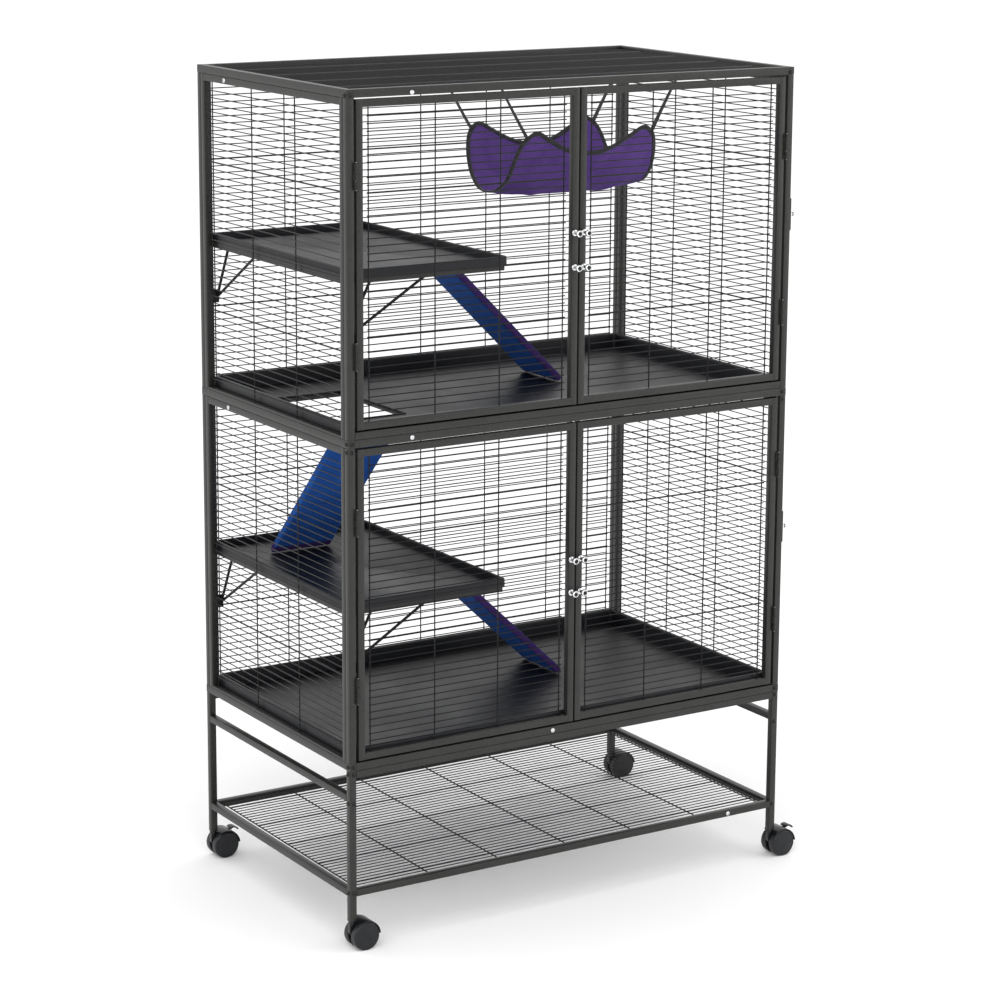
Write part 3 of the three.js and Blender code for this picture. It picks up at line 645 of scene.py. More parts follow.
# %% Screw heads
def screw_head(material, radius=4.2):
    """A pan head whose underside is at the origin and whose crown points to -Y."""
    head = turned(
        [
            (radius, 0),
            (radius, 0.9),
            (radius * 0.93, 1.5),
            (radius * 0.75, 2.1),
            (radius * 0.45, 2.5),
            (radius * 0.15, 2.6),
        ],
        material,
        24,
    )
    for turn_by in (45, 135):
        slot = block((-radius * 0.55, -0.35, 1.7), (radius * 0.55, 0.35, 3.5), black_steel, 0.05, 1)
        cut_out(head, turned_to(slot, z=turn_by))
    return turned_to(head, x=90)


zinc_screw = screw_head(zinc_plate)
black_screw = screw_head(black_steel, 3.6)
screws = []
TUBE_JOINTS = (1475.3, 894, 880, 330, 317, 265, 103)


def add_screw(pattern, where, turn=0):
    """Copies a screw to a place on the cage; it faces the front, or the left when turned by -90."""
    screws.append(set_down(copied(pattern), where, turn))


for z in (1475.3, 894):
    add_screw(zinc_screw, (123, 0, z))
for z in (1464.5, 880.5):
    add_screw(zinc_screw, (0, 440, z), -90)
add_screw(zinc_screw, (803.6, 0, 103))
add_screw(zinc_screw, (412, 0, 330))
for w in (7.5, 906.5):
    for z in TUBE_JOINTS:
        add_screw(black_screw, (w, 0, z))
for z in TUBE_JOINTS:
    add_screw(black_screw, (0, 6.4, z), -90)
bpy.data.objects.remove(zinc_screw)
bpy.data.objects.remove(black_screw)
screw_set = join("screws", screws)
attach(screw_set, "cage")
print(len(screws), "screws")

# %% [markdown]
# ### Side and back panels
#
# Each tier has a panel at the left, the right and the back. Their lower edge is a flat bar, so the
# net comes down close to the floor, and the upper edge is a full tube. The same panel serves left
# and right: it is made once for each tier and copied.

# %% Side and back panels
tiers = {}
for name in ("lower", "upper"):
    low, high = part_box(f"{name}_left_panel")
    length = (high.y - low.y) / MM
    tiers[name] = bottom, height = standing(f"{name}_left_panel")
    side = wire_panel(f"{name}_left_wires", length, height, 4, 4, 10.3)
    other = copied(side, f"{name}_right_wires")
    set_down(side, (0, DEPTH - 13, bottom), turn=-90)
    set_down(other, (WIDTH, 13, bottom), turn=90)
    stands_for(side, f"{name}_left_panel")
    stands_for(other, f"{name}_right_panel")
    back = wire_panel(f"{name}_back_wires", WIDTH, height, 4, 7, 12.9)
    set_down(back, (WIDTH, DEPTH, bottom), turn=180)
    stands_for(back, f"{name}_back_panel")
    print(name, "side panels", round(length), "x", round(height), "mm")

# %% [markdown]
# ### Roof and storage shelf
#
# The roof is the same net in a lying frame, with four heavier wires. The shelf hangs between the
# legs on four tubes, with a rod along the inside of each for the wires, and it has heavier wires
# every few inches for boxes.

# %% Roof and shelf
# The heavier roof wires take the glossy enamel with the painted highlight.
heavier = {"stiffeners": (0.12, 0.37, 0.63, 0.88), "gloss": glossy_enamel_painted_highlight}
roof = wire_panel("roof_wires", WIDTH, DEPTH, TUBE, 7, 12.9, depth=14, **heavier)
set_down(roof, (0, 0, top_of("roof_frame")), tilt=-90)
stands_for(roof, "roof_frame")

inner_w, inner_d = WIDTH - 26, DEPTH - 26
ROD = 4
shelf_parts = [
    tube((0, 0, -13), (inner_w, TUBE, -0.3)),
    tube((0, 0, inner_d + 0.3), (inner_w, TUBE, inner_d + 13)),
    tube((-13, 0, 0), (-0.3, TUBE, inner_d)),
    tube((inner_w + 0.3, 0, 0), (inner_w + 13, TUBE, inner_d)),
    tube((-1, 4.5, 0), (inner_w + 1, 8.5, ROD), rounding=0.5),
    tube((-1, 4.5, inner_d - ROD), (inner_w + 1, 8.5, inner_d), rounding=0.5),
    tube((0, 4.5, -1), (ROD, 8.5, inner_d + 1), rounding=0.5),
    tube((inner_w - ROD, 4.5, -1), (inner_w, 8.5, inner_d + 1), rounding=0.5),
]
shelf_parts += wire_net(
    12.6, inner_w - 12.6, 7, ROD, inner_d - ROD, 2, 3.7, (0.02, 0.26, 0.5, 0.74, 0.98)
)
shelf = join("shelf_wires", shelf_parts)
set_down(shelf, (13, 13, top_of("storage_shelf")), tilt=-90)
stands_for(shelf, "storage_shelf")
print("roof and shelf:", len(roof.data.polygons) + len(shelf.data.polygons), "faces")

# %% [markdown]
# ### Floor frames
#
# Each tier stands on a ring of tube, and flat bars from front to back carry the tray. In the upper
# floor a border of bar frames the way down, and two ears below it hold the ramp's rod.


# %% Floor frames
def lying_ring(height):
    return [
        tube((0, 0, 0), (TUBE, DEPTH, height)),
        tube((WIDTH - TUBE, 0, 0), (WIDTH, DEPTH, height)),
        tube((TUBE - 0.5, 0, 0), (WIDTH - TUBE + 0.5, TUBE, height)),
        tube((TUBE - 0.5, DEPTH - TUBE, 0), (WIDTH - TUBE + 0.5, DEPTH, height)),
    ]


def around(w_span, d_span, width):
    """The low and high corners of four bars of this width round a hole."""
    (w0, w1), (d0, d1) = w_span, d_span
    return [
        ((w0 - width, d0 - width), (w1 + width, d0)),
        ((w0 - width, d1), (w1 + width, d1 + width)),
        ((w0 - width, d0 - width), (w0, d1 + width)),
        ((w1, d0 - width), (w1 + width, d1 + width)),
    ]


def ear_span(middle, side_of):
    """The two faces of an ear that holds a ramp's rod, on one side of the ramp's middle."""
    return sorted((middle + side_of * 60.8, middle + side_of * 63.8))


RING = 14
BAR_LOW, BAR_HIGH = 0.5, 5.5
HOLE_W, HOLE_D = (77.5, 208), (173, 403)
bar_places = spread(6, WIDTH / 7, WIDTH / 2)
for name, top_node in (("lower", "lower_floor_frame"), ("upper", "upper_floor_frame")):
    parts = lying_ring(RING)
    for w in bar_places:
        spans = [(TUBE - 0.6, DEPTH - TUBE + 0.6)]
        if name == "upper" and HOLE_W[0] < w < HOLE_W[1]:
            spans = [(TUBE - 0.6, HOLE_D[0] - 1), (HOLE_D[1] + 1, DEPTH - TUBE + 0.6)]
        for start, end in spans:
            parts.append(tube((w - 5, start, BAR_LOW), (w + 5, end, BAR_HIGH), rounding=0.6))
    if name == "upper":
        for a, b in around(HOLE_W, HOLE_D, 5):
            parts.append(tube((*a, BAR_LOW), (*b, BAR_HIGH), rounding=0.5))
        middle, d0 = sum(HOLE_W) / 2, HOLE_D[0]
        for side_of in (-1, 1):
            near, far = ear_span(middle, side_of)
            ear = block((near, d0 - 5, -15.5), (far, d0 + 14.5, BAR_HIGH), hammered_enamel, 0.8)
            parts.append(ear)
    floor_piece = set_down(join(f"{name}_floor_ring", parts), (0, 0, top_of(top_node) - RING))
    stands_for(floor_piece, top_node)
    print(top_node, len(floor_piece.data.polygons), "faces")

# %% [markdown]
# ## Stand: legs and rails
#
# Four legs carry the cage. Each is a plain tube, open at the foot, where the caster's stem goes
# in; a small plastic socket closes it. Two rails run under the front and back, and two lower ones
# tie the legs at the sides.

# %% Legs and rails
LEG_FOOT = 52
legs = {
    "front_left": (0, 0),
    "front_right": (WIDTH - TUBE, 0),
    "back_left": (0, DEPTH - TUBE),
    "back_right": (WIDTH - TUBE, DEPTH - TUBE),
}
for corner, (w, d) in legs.items():
    post = tube((0, 0, LEG_FOOT), (TUBE, TUBE, STAND_TOP))
    socket = turned([(5.9, 50.3), (6.2, 50.6), (6.2, 52.2)], caster_nylon, 24)
    moved(socket, (TUBE / 2, TUBE / 2, 0))
    leg = set_down(join(f"leg_{corner}", [post, socket]), (w, d, 0))
    stands_for(leg, f"stand_leg_{corner}")
rails = {f"rail_{label}": f"stand_{label}_rail" for label in ("front", "back", "left", "right")}
for name, node in {**rails, "front_sill": "upper_front_sill"}.items():
    stands_for(set_down(join(name, [tube(*corners_of(node))])), node)

# %% [markdown]
# ## Posts, hinges and side catches
#
# The front posts carry the doors on lift-off hinges: two fixed barrels with a pin, and the door's
# barrel between them. On the outer side of each right post sits a thin sprung plate with a small
# turned button.

# %% Hinge barrels
KNUCKLE, KNUCKLE_HEIGHT, AXIS_OUT = 2.8, 15, 3.2
HINGE_IN = TUBE + 2.5  # from the cage's side to the hinge axis
HINGE_AT = 125  # from either end of a door
PIN_REACH = 23.4


def barrel(x, z):
    """One hinge barrel centred on (x, z), with rounded rims."""
    r, h = KNUCKLE, KNUCKLE_HEIGHT / 2
    knuckle = turned(
        [(r - 0.4, -h), (r, -h + 0.4), (r, h - 0.4), (r - 0.4, h), (r - 1.2, h)], black_steel, 20
    )
    return moved(knuckle, (x, -AXIS_OUT, z))


def leaf(x_low, x_high, z):
    """The flat part of a hinge, welded to a tube."""
    reach = KNUCKLE_HEIGHT / 2
    return block((x_low, -AXIS_OUT, z - reach), (x_high, 9, z + reach), hammered_enamel, 0.3)


def hinge_heights(bottom, height):
    return [bottom + HINGE_AT, bottom + height - HINGE_AT]


doors = {name: standing(f"{name}_left_door") for name in tiers}

# %% Front posts
for name, (bottom, height) in tiers.items():
    door_bottom, door_height = doors[name]
    for label, side_of in (("left", -1), ("right", 1)):
        outer = 0 if side_of < 0 else WIDTH
        inner = outer - side_of * TUBE
        axis = outer - side_of * HINGE_IN
        parts = [tube((min(outer, inner), 0, bottom), (max(outer, inner), TUBE, bottom + height))]
        for middle in hinge_heights(door_bottom, door_height):
            for end in (-1, 1):
                z = middle + end * (KNUCKLE_HEIGHT + 0.4)
                parts.append(barrel(axis, z))
                parts.append(leaf(*sorted((inner + side_of * 0.6, inner - side_of * 1.0)), z))
            pin = ((axis, -AXIS_OUT, middle + reach) for reach in (-PIN_REACH, PIN_REACH))
            parts.append(bar(*pin, 1.4, zinc_plate))
        if side_of > 0:
            middle = door_bottom + door_height / 2 + 26.5
            low, high = (WIDTH - 0.4, 2, middle - 29.5), (WIDTH + 4, 10.7, middle + 29.5)
            plate = block(low, high, black_steel, 1.6, 3)
            button = turned(
                [(2.0, 0), (2.0, 4.6), (3.8, 5.4), (4.0, 6.2), (3.7, 7.0)], chrome_plate, 24
            )
            turned_to(button, y=90)
            parts += [plate, moved(button, (WIDTH + 4, 6.35, middle))]
        post = set_down(join(f"{name}_post_{label}", parts))
        stands_for(post, f"{name}_front_{label}_post")
    print(name, "posts with hinges")

# %% [markdown]
# ## Doors
#
# A door is a framed panel with four uprights and a hinge barrel at each of two places. The
# left-hand door is modelled; its copy is mirrored for the right-hand side, and the mirrored mesh
# has its normals turned outwards again.

# %% Doors
DOOR_WIDTH = (WIDTH - 2 * TUBE - 2 * 5 - 3) / 2
for name, (door_bottom, door_height) in doors.items():
    door = wire_panel(f"{name}_door_left", DOOR_WIDTH, door_height, TUBE, 4, 13.9)
    parts = [door]
    for z in (HINGE_AT, door_height - HINGE_AT):
        parts += [barrel(-2.5, z), leaf(-1.0, 0.6, z)]
    door = join(f"{name}_door_left", parts)
    twin = copied(door, f"{name}_door_right")
    set_down(door, (TUBE + 5, 0, door_bottom))
    twin.scale.x = -1
    set_down(twin, (WIDTH - TUBE - 5, 0, door_bottom))
    faced_outwards(twin)
    stands_for(door, f"{name}_left_door", f"{name}_left_door")
    stands_for(twin, f"{name}_right_door", f"{name}_right_door")
    print(name, "doors", round(DOOR_WIDTH), "x", round(door_height), "mm")

# %% [markdown]
# ## Latch knobs
#
# Each pair of doors is held by two rows of turned, chromed knobs: the left one of a pair is fixed
# and the right one turns a tongue behind the stile. A collar sits on the tube, a thin neck stands
# out, and a fat ring at the front holds a dark screw with a cross recess.

# %% Knobs and tongues
knob_steps = [
    (2.4, -11),
    (2.4, 0.3),
    (5.0, 0.35),
    (5.5, 0.8),
    (5.5, 2.4),
    (5.0, 2.9),
    (3.3, 3.3),
    (3.0, 4.2),
    (3.0, 11.4),
    (3.6, 12.2),
    (5.4, 12.9),
    (6.3, 13.8),
    (6.5, 15.0),
    (6.4, 16.2),
    (5.8, 17.3),
    (5.0, 17.9),
    (4.2, 17.8),
    (3.7, 17.2),
    (3.5, 16.2),
]


def knob():
    """A chromed knob on Y, with its dark cross-recessed screw."""
    ring = turned_to(turned(knob_steps, chrome_plate, 28), x=90)
    centre = screw_head(black_steel, 3.2)
    moved(centre, (0, -15.6, 0))
    return join("knob", [ring, centre], 30)


KNOB_ASIDE, ROW_ASIDE = 9.6, 30  # from the middle of the doors, and of the pair of rows
pattern = knob()
for name, (door_bottom, door_height) in doors.items():
    middle = door_bottom + door_height / 2 - 3.5
    for row, z in (("upper", middle + ROW_ASIDE), ("lower", middle - ROW_ASIDE)):
        keeper = copied(pattern, f"{name}_knob_left_{row}")
        set_down(keeper, (WIDTH / 2 - KNOB_ASIDE, 0, z))
        node = f"{name}_keeper_knob_{row}"
        stands_for(keeper, node, f"{name}_left_door")
        tongue = block((-4, TUBE + 0.5, -24), (4, TUBE + 3, 4), zinc_plate, 0.9, 2)
        latch = join(f"{name}_knob_right_{row}", [copied(pattern), tongue], 30)
        set_down(latch, (WIDTH / 2 + KNOB_ASIDE, 0, z))
        node = f"{name}_turn_latch_{row}"
        stands_for(latch, node, node)
bpy.data.objects.remove(pattern)
print("8 knobs")

# %% [markdown]
# ## Trays and platform pans
#
# Trays are moulded with a thick rounded rim. Each starts as a block: bevelling its four upright
# edges gives the round corners, insetting the top gives the rim, and pushing the inset face down
# hollows it out. Last the rim's edges are bevelled so that they shine softly.


# %% Tray builder
def tray_body(name, size, corner, rim, wall):
    """A tray centred on the origin with its underside at z = 0."""
    width, depth, height = size
    half = Vector((width / 2, depth / 2, 0))
    piece = cube(-half, half + Vector((0, 0, height)))

    def upright(edge):
        a, b = ends(piece, edge)
        return abs(a.z - b.z) > height / 2

    edit(piece, "EDGE", upright)
    bpy.ops.mesh.bevel(offset=corner * MM, segments=7, affect="EDGES")
    close_edit()
    edit(piece, "FACE", lambda face: face.normal.z > 0.9)
    bpy.ops.mesh.inset(thickness=rim * MM)
    bpy.ops.mesh.extrude_region_move(
        TRANSFORM_OT_translate={"value": (0, 0, (wall - height) * MM)}
    )
    close_edit()

    def on_rim(edge):
        a, b = ends(piece, edge)
        return min(a.z, b.z) > height - 0.1

    def sharp_rim(edge):
        if not on_rim(edge):
            return False
        beside = [f for f in piece.data.polygons if set(edge.vertices) <= set(f.vertices)]
        return any(abs(f.normal.z) < 0.5 for f in beside)

    edit(piece, "EDGE", sharp_rim)
    bpy.ops.mesh.bevel(offset=rim * 0.36 * MM, segments=4, affect="EDGES")
    close_edit()
    edit(piece, "FACE", lambda face: face.normal.z > 0.9 and face.center.z < (wall + 0.2) * MM)
    bpy.ops.mesh.inset(thickness=4 * MM, depth=-0.5 * MM)
    close_edit()
    piece.name = piece.data.name = name
    return painted(piece, tray_plastic)


def sized(node):
    low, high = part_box(node)
    return (high - low) / MM, ((low + high) / 2 - CORNER) / MM, (low.z - CORNER.z) / MM


# %% Trays
LIP = 4.5  # height of the low lip round the way down
for name in ("lower", "upper"):
    size, middle, base = sized(f"{name}_tray")
    tray = tray_body(f"{name}_litter_tray", size, 14, 8, 3)
    if name == "upper":
        w0, w1 = (v - middle.x for v in HOLE_W)
        d0, d1 = (v - middle.y for v in HOLE_D)
        lip_parts = [
            block((*a, 0.3), (*b, LIP), tray_plastic, 0.9, 2)
            for a, b in around((w0, w1), (d0, d1), 3)
        ]
        cut_out(tray, block((w0, d0, -5), (w1, d1, 20), tray_plastic, 0.2, 1))
        tray = join(tray.name, [tray, *lip_parts], 30)
    else:
        tray = join(tray.name, [tray], 30)
    set_down(tray, (middle.x, middle.y, base))
    stands_for(tray, f"{name}_tray")
    print(tray.name, [round(v) for v in size])

# %% Platform pans
for name in ("lower", "upper"):
    size, middle, base = sized(f"{name}_platform_pan")
    pan = join(f"{name}_pan", [tray_body("pan", size, 9, 6, 2.5)], 30)
    set_down(pan, (middle.x, middle.y, base))
    stands_for(pan, f"{name}_platform_pan")

# %% [markdown]
# ## Platform carriers
#
# Under each pan a welded frame of thinner tube hooks onto the left wall. Two pairs of wire stays
# run up from small black brackets, one pair along the front and one along the left wall, and two
# ears hold the ramp's rod.

# %% Carriers
CARRIER = 9.5
for name in ("lower", "upper"):
    x0, x1 = 0.3, 312
    y0, y1 = 5, 501
    top = -15.3
    under = top - CARRIER
    mid_z = (top + under) / 2
    anchor_z = under - 92
    bars = [
        ((x0, y0), (x0 + CARRIER, y1)),
        ((x1 - CARRIER, y0), (x1, y1)),
        ((x0 + CARRIER - 0.5, y0), (x1 - CARRIER + 0.5, y0 + CARRIER)),
        ((x0 + CARRIER - 0.5, y1 - CARRIER), (x1 - CARRIER + 0.5, y1)),
        ((x0 + CARRIER - 0.5, 248.25), (x1 - CARRIER + 0.5, 257.75)),
    ]
    parts = [tube((*a, under), (*b, top), rounding=0.8) for a, b in bars]
    front_y = y0 + CARRIER / 2
    front_anchor = Vector((x0 + 3, front_y, anchor_z))
    rear_anchor = Vector((x0 + CARRIER + 1, y1 - 1, anchor_z))
    for reach in (48, 157):
        front_top = (x0 + 3 + reach, front_y, mid_z)
        rear_top = (x0 + CARRIER + 1, y1 - 1 - reach, mid_z)
        parts.append(bar(front_anchor, front_top, 2.5, wire_enamel, 12))
        parts.append(bar(rear_anchor, rear_top, 2.5, wire_enamel, 12))
    for low, high in (
        ((x0, front_y - 15.5, anchor_z - 6), (x0 + 6, front_y + 3, anchor_z + 10)),
        ((x0, y1 - 4, anchor_z - 10), (x0 + CARRIER + 4, y1 + 2, anchor_z + 14)),
    ):
        parts.append(block(low, high, black_steel, 1.5, 3))
    pivot_x, pivot_y, pivot_z = 325, 314, top - 6
    for side_of in (-1, 1):
        near, far = ear_span(pivot_y, side_of)
        ear_low = (x1 - 2, near, pivot_z - 5.5)
        parts.append(block(ear_low, (pivot_x + 5.5, far, pivot_z + 5.5), hammered_enamel, 1.0, 2))
    carrier = set_down(join(f"{name}_carrier", parts), (TUBE, 26, top_of(f"{name}_platform_pan")))
    stands_for(carrier, f"{name}_platform_carrier")
    print(name, "carrier", len(carrier.data.polygons), "faces")

# %% [markdown]
# ## Ramps
#
# A ramp is a board in a fleece sleeve that hangs from a steel rod. The board is modelled as a
# block with rounded ends, cut into small faces; the sleeve's slack is a little cloth simulation
# with slight pressure, so that the fleece crowns between its seams and puckers along them. It is
# run once and the three ramps are copies. A plum gusset runs along the near side and the foot,
# and on the middle ramp across the foot alone.

# %% Ramp sleeve
RAMP_LENGTH, RAMP_WIDTH, RAMP_THICK = 370, 120, 14
MOST_PUFF = 1.1


def ramp_board():
    """A board along +X from the rod's axis at the origin, with round ends, in small faces."""
    half = RAMP_THICK / 2
    low = Vector((-half, -RAMP_WIDTH / 2, -half))
    high = Vector((RAMP_LENGTH + half, RAMP_WIDTH / 2, half))
    piece = cube(low, high)

    def end_edge(edge):
        a, b = ends(piece, edge)
        return abs(a.y - b.y) > RAMP_WIDTH / 2

    edit(piece, "EDGE", end_edge)
    bpy.ops.mesh.bevel(offset=(half - 0.2) * MM, segments=5, affect="EDGES")
    bpy.ops.mesh.select_all(action="SELECT")
    bpy.ops.mesh.quads_convert_to_tris()
    close_edit()
    return piece


def sleeve_of(board):
    """The sleeve: the board remeshed, puffed a little and pulled in at its long seams."""
    board.data.remesh_voxel_size = 3.5 * MM
    only(board)
    bpy.ops.object.voxel_remesh()
    rest = [v.co.copy() for v in board.data.vertices]
    cloth = board.modifiers.new("fleece", "CLOTH")
    cloth.settings.use_pressure = True
    cloth.settings.uniform_pressure_force = 2.5
    cloth.settings.effector_weights.gravity = 0
    cloth.settings.quality = 4
    cloth.collision_settings.use_collision = False
    cloth.point_cache.frame_end = 14
    for step in range(1, 15):
        bpy.context.scene.frame_set(step)
    only(board)
    bpy.ops.object.modifier_apply(modifier="fleece")
    bpy.context.scene.frame_set(1)
    half = RAMP_THICK / 2 * MM
    for vertex, start in zip(board.data.vertices, rest):
        shift = vertex.co - start
        if shift.length > MOST_PUFF * MM:
            shift = shift * (MOST_PUFF * MM / shift.length)
        vertex.co = start + shift * 0.8
        across = abs(start.y) / (RAMP_WIDTH / 2 * MM)
        crown = 1 - 0.10 * max(0.0, across - 0.86) / 0.14
        wave = 0.25 * MM * math.sin(start.x / MM / 11) * math.sin(start.x / MM / 29 + 1)
        vertex.co.z = vertex.co.z * crown * 0.94
        pucker = wave * max(0.0, across - 0.8) * 5
        vertex.co.y += math.copysign(pucker, start.y) - math.copysign(0.5 * MM, start.y)
        vertex.co.x = min(max(vertex.co.x, -half), RAMP_LENGTH * MM + half)
    return applied(board, "SUBSURF", levels=1, render_levels=1)


sleeve = painted(sleeve_of(ramp_board()), blue_fleece)
sleeve.data.materials.append(plum_fleece)
print("sleeve", len(sleeve.data.polygons), "faces")


# %% Hang the three ramps
joints = {joint["name"]: joint for joint in frame["joints"]}
for name, heading, plum_at in (("upper", 0, "side"), ("lower", 0, "side"), ("middle", 90, "end")):
    node = f"{name}_ramp"
    pivot = Vector(joints[f"{node}_lift"]["pos_m"])
    drop = pivot.z - (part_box(node)[0].z + RAMP_THICK / 2 * MM)
    tilt = math.asin(drop / (RAMP_LENGTH * MM))
    ramp = copied(sleeve)
    for face in ramp.data.polygons:
        centre = face.center / MM
        if plum_at == "side":
            is_plum = centre.y < -RAMP_WIDTH / 2 + 2.5 or centre.x > RAMP_LENGTH - 4
        else:
            is_plum = centre.x > RAMP_LENGTH - 14
        face.material_index = 1 if is_plum else 0
    rod = bar((0, -64.8, 0), (0, 64.8, 0), 3, zinc_plate, 16)
    ramp = join(f"{name}_ramp_sleeve", [ramp, rod], 60)
    ramp.matrix_world = (
        Matrix.Translation(pivot)
        @ Matrix.Rotation(math.radians(heading), 4, "Z")
        @ Matrix.Rotation(tilt, 4, "Y")
    )
    settle(ramp)
    stands_for(ramp, node, node)
    print(name, "ramp tilted", round(math.degrees(tilt), 1), "degrees")
bpy.data.objects.remove(sleeve)

# %% [markdown]
# ## Hammock
#
# The hammock is one sheet of purple fleece with a black binding, hung by four straps. A flat grid
# is bent to the curve that such a sheet takes: it hangs in a trough, its ends curve out in a U,
# the long edges sag between the straps, the rounded corners stand up as lobes, and soft folds run
# in from them. The Solidify modifier gives the cloth its thickness.

# %% Hammock sheet
HANG_HEIGHT = 1370
LOBE_RISE, FOLD_DEPTH, CREASE_DEPTH = 22, 7, 2.2
HAMMOCK = {"length": 288, "width": 206, "depth": 121, "end_depth": 111, "sag": 38, "bulge": 16}
hammock_low, hammock_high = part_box("hammock")
hammock_middle = Vector(
    (
        (hammock_low.x + hammock_high.x) / 2,
        (hammock_low.y + hammock_high.y) / 2,
        CORNER.z + HANG_HEIGHT * MM,
    )
)


CORNER_U, CORNER_V = 0.28, 0.42  # the share of the cloth that each rounded corner takes


def round_corner(u, v):
    """Moves a point of the square's corner onto a quarter of a disc."""
    p = (abs(u) - 1 + CORNER_U) / CORNER_U
    q = (abs(v) - 1 + CORNER_V) / CORNER_V
    if p <= 0 or q <= 0:
        return u, v
    round_p = p * math.sqrt(1 - q * q / 2)
    round_q = q * math.sqrt(1 - p * p / 2)
    return (
        math.copysign(1 - CORNER_U + CORNER_U * round_p, u),
        math.copysign(1 - CORNER_V + CORNER_V * round_q, v),
    )


def ease(low, high, value):
    t = min(max((value - low) / (high - low), 0.0), 1.0)
    return t * t * (3 - 2 * t)


def hung_point(u, v):
    """A point of the hanging cloth, u along it and v across it, both from -1 to 1."""
    turn_up = math.radians(72)
    along = 1 - u * u
    half_width = HAMMOCK["width"] / 2 * (1 - 0.1 * along)
    edge = -HAMMOCK["sag"] * along
    bottom = -HAMMOCK["end_depth"] - (HAMMOCK["depth"] - HAMMOCK["end_depth"]) * along
    lift = (1 - math.cos(v * turn_up)) / (1 - math.cos(turn_up))
    ridge = math.exp(-(((abs(u) - 0.42 - 0.5 * abs(v)) / 0.09) ** 2)) * (0.3 + 0.7 * abs(v))
    crease = math.exp(-(((u * 0.75 + v * 0.65 - 0.55) / 0.07) ** 2)) + math.exp(
        -(((u * 0.75 + v * 0.65 + 0.6) / 0.08) ** 2)
    )
    ripple = 0.8 * math.sin(5 * u + 3 * v) * math.sin(4 * v - 2 * u)
    x = u * (HAMMOCK["length"] / 2 + HAMMOCK["bulge"] * (1 - v * v))
    y = half_width * math.sin(v * turn_up) / math.sin(turn_up)
    z = bottom + (edge - bottom) * lift
    z += (-FOLD_DEPTH * ridge - CREASE_DEPTH * crease + ripple) * (1 - v**4)
    z += LOBE_RISE * ease(0.1, 0.95, abs(u)) * ease(0.45, 0.85, abs(v))
    return Vector((x, y, z))


def hammock_point(u, v):
    return hung_point(*round_corner(u, v))


def cut_edge(u):
    """How far across the cut reaches at u, since its corners are rounded."""
    p = max(abs(u) - 1 + CORNER_U, 0) / CORNER_U
    return 1 - CORNER_V + CORNER_V * math.sqrt(1 - p * p)


only()
bpy.ops.mesh.primitive_grid_add(x_subdivisions=56, y_subdivisions=44, size=2)
hammock = bpy.context.object
for vertex in hammock.data.vertices:
    vertex.co = hammock_point(vertex.co.x, vertex.co.y) * MM


def arc(points):
    return sum((b - a).length for a, b in zip(points, points[1:])) * MM


# The flat cut: points along the centre line are taken, and the length of each strip across the hung
# cloth is measured. The strips are longer near the ends than at the waist, so the cut isn't a
# rectangle.
steps = [i / 20 - 1 for i in range(41)]
centre_line = [hung_point(u, 0) for u in steps]
strips = [arc([hung_point(u, v * cut_edge(u)) for v in steps]) for u in steps]
painted(thickened(hammock, 2.2), purple_fleece)
hammock.location = hammock_middle
settle(hammock)
hammock = join("hammock_cloth", [hammock], 60)

# %% [markdown]
# ### Binding and straps
#
# The binding is a folded tape that wraps the edge all round. Its section, a flat oval, is swept
# along the edge ring by ring, turned to lie against the cloth. The straps are flat webbing, sewn
# to the lobes, that narrows towards the wires of the roof, where each ends.


# %% Hammock binding
def edge_loop(steps_long, steps_short):
    """Points round the sheet's edge, each with the direction back into the cloth."""
    ring = [(-1 + 2 * i / steps_long, -1) for i in range(steps_long)]
    ring += [(1, -1 + 2 * i / steps_short) for i in range(steps_short)]
    ring += [(-u, -v) for u, v in ring]
    points = []
    for u, v in ring:
        inward = hammock_point(u * 0.96, v * 0.96) - hammock_point(u, v)
        points.append((hammock_point(u, v), inward.normalized()))
    return points


def swept_section(name, path, half_wide, half_thick, shift, material, sides=10):
    """Sweeps a flat oval round a closed path of (point, inward direction)."""
    count = len(path)
    corners, faces = [], []
    for i, (point, inward) in enumerate(path):
        ahead = (path[(i + 1) % count][0] - path[i - 1][0]).normalized()
        flat = (inward - ahead * inward.dot(ahead)).normalized()
        normal = ahead.cross(flat)
        for k in range(sides):
            angle = 2 * math.pi * k / sides
            offset = flat * (math.cos(angle) * half_wide + shift)
            offset += normal * math.sin(angle) * half_thick
            corners.append((point + offset) * MM)
    for i in range(count):
        for k in range(sides):
            j, m = (i + 1) % count, (k + 1) % sides
            faces.append((i * sides + k, j * sides + k, j * sides + m, i * sides + m))
    mesh = bpy.data.meshes.new(name)
    mesh.from_pydata(corners, [], faces)
    return painted(faced_outwards(added(name, mesh)), material)


binding = swept_section("hammock_binding", edge_loop(56, 44), 4.6, 2.1, 3.2, binding_tape)
binding.location = hammock_middle
settle(binding)
binding = join("hammock_binding", [binding], 60)
stands_for(hammock, "hammock")
stands_for(binding, "hammock")


# %% Hammock straps
def strap(name, foot, head, wide_foot, wide_head):
    """A flat tape between two points that narrows upwards, with a slight belly."""
    only()
    bpy.ops.mesh.primitive_grid_add(x_subdivisions=14, y_subdivisions=4, size=2)
    piece = bpy.context.object
    line = head - foot
    side_way = Vector((0, 1, 0))
    face_way = line.cross(side_way).normalized()
    for vertex in piece.data.vertices:
        s, t = (vertex.co.x + 1) / 2, vertex.co.y
        half = (wide_foot + (wide_head - wide_foot) * s) / 2
        belly = 1.2 * math.sin(math.pi * s)
        edge = 0.35 * (1 - abs(t)) * math.cos(3 * math.pi * s)
        vertex.co = (foot + line * s + side_way * t * half + face_way * (belly + edge)) * MM
    painted(thickened(piece, 1.6), strap_webbing)
    return join(name, [piece], 60)


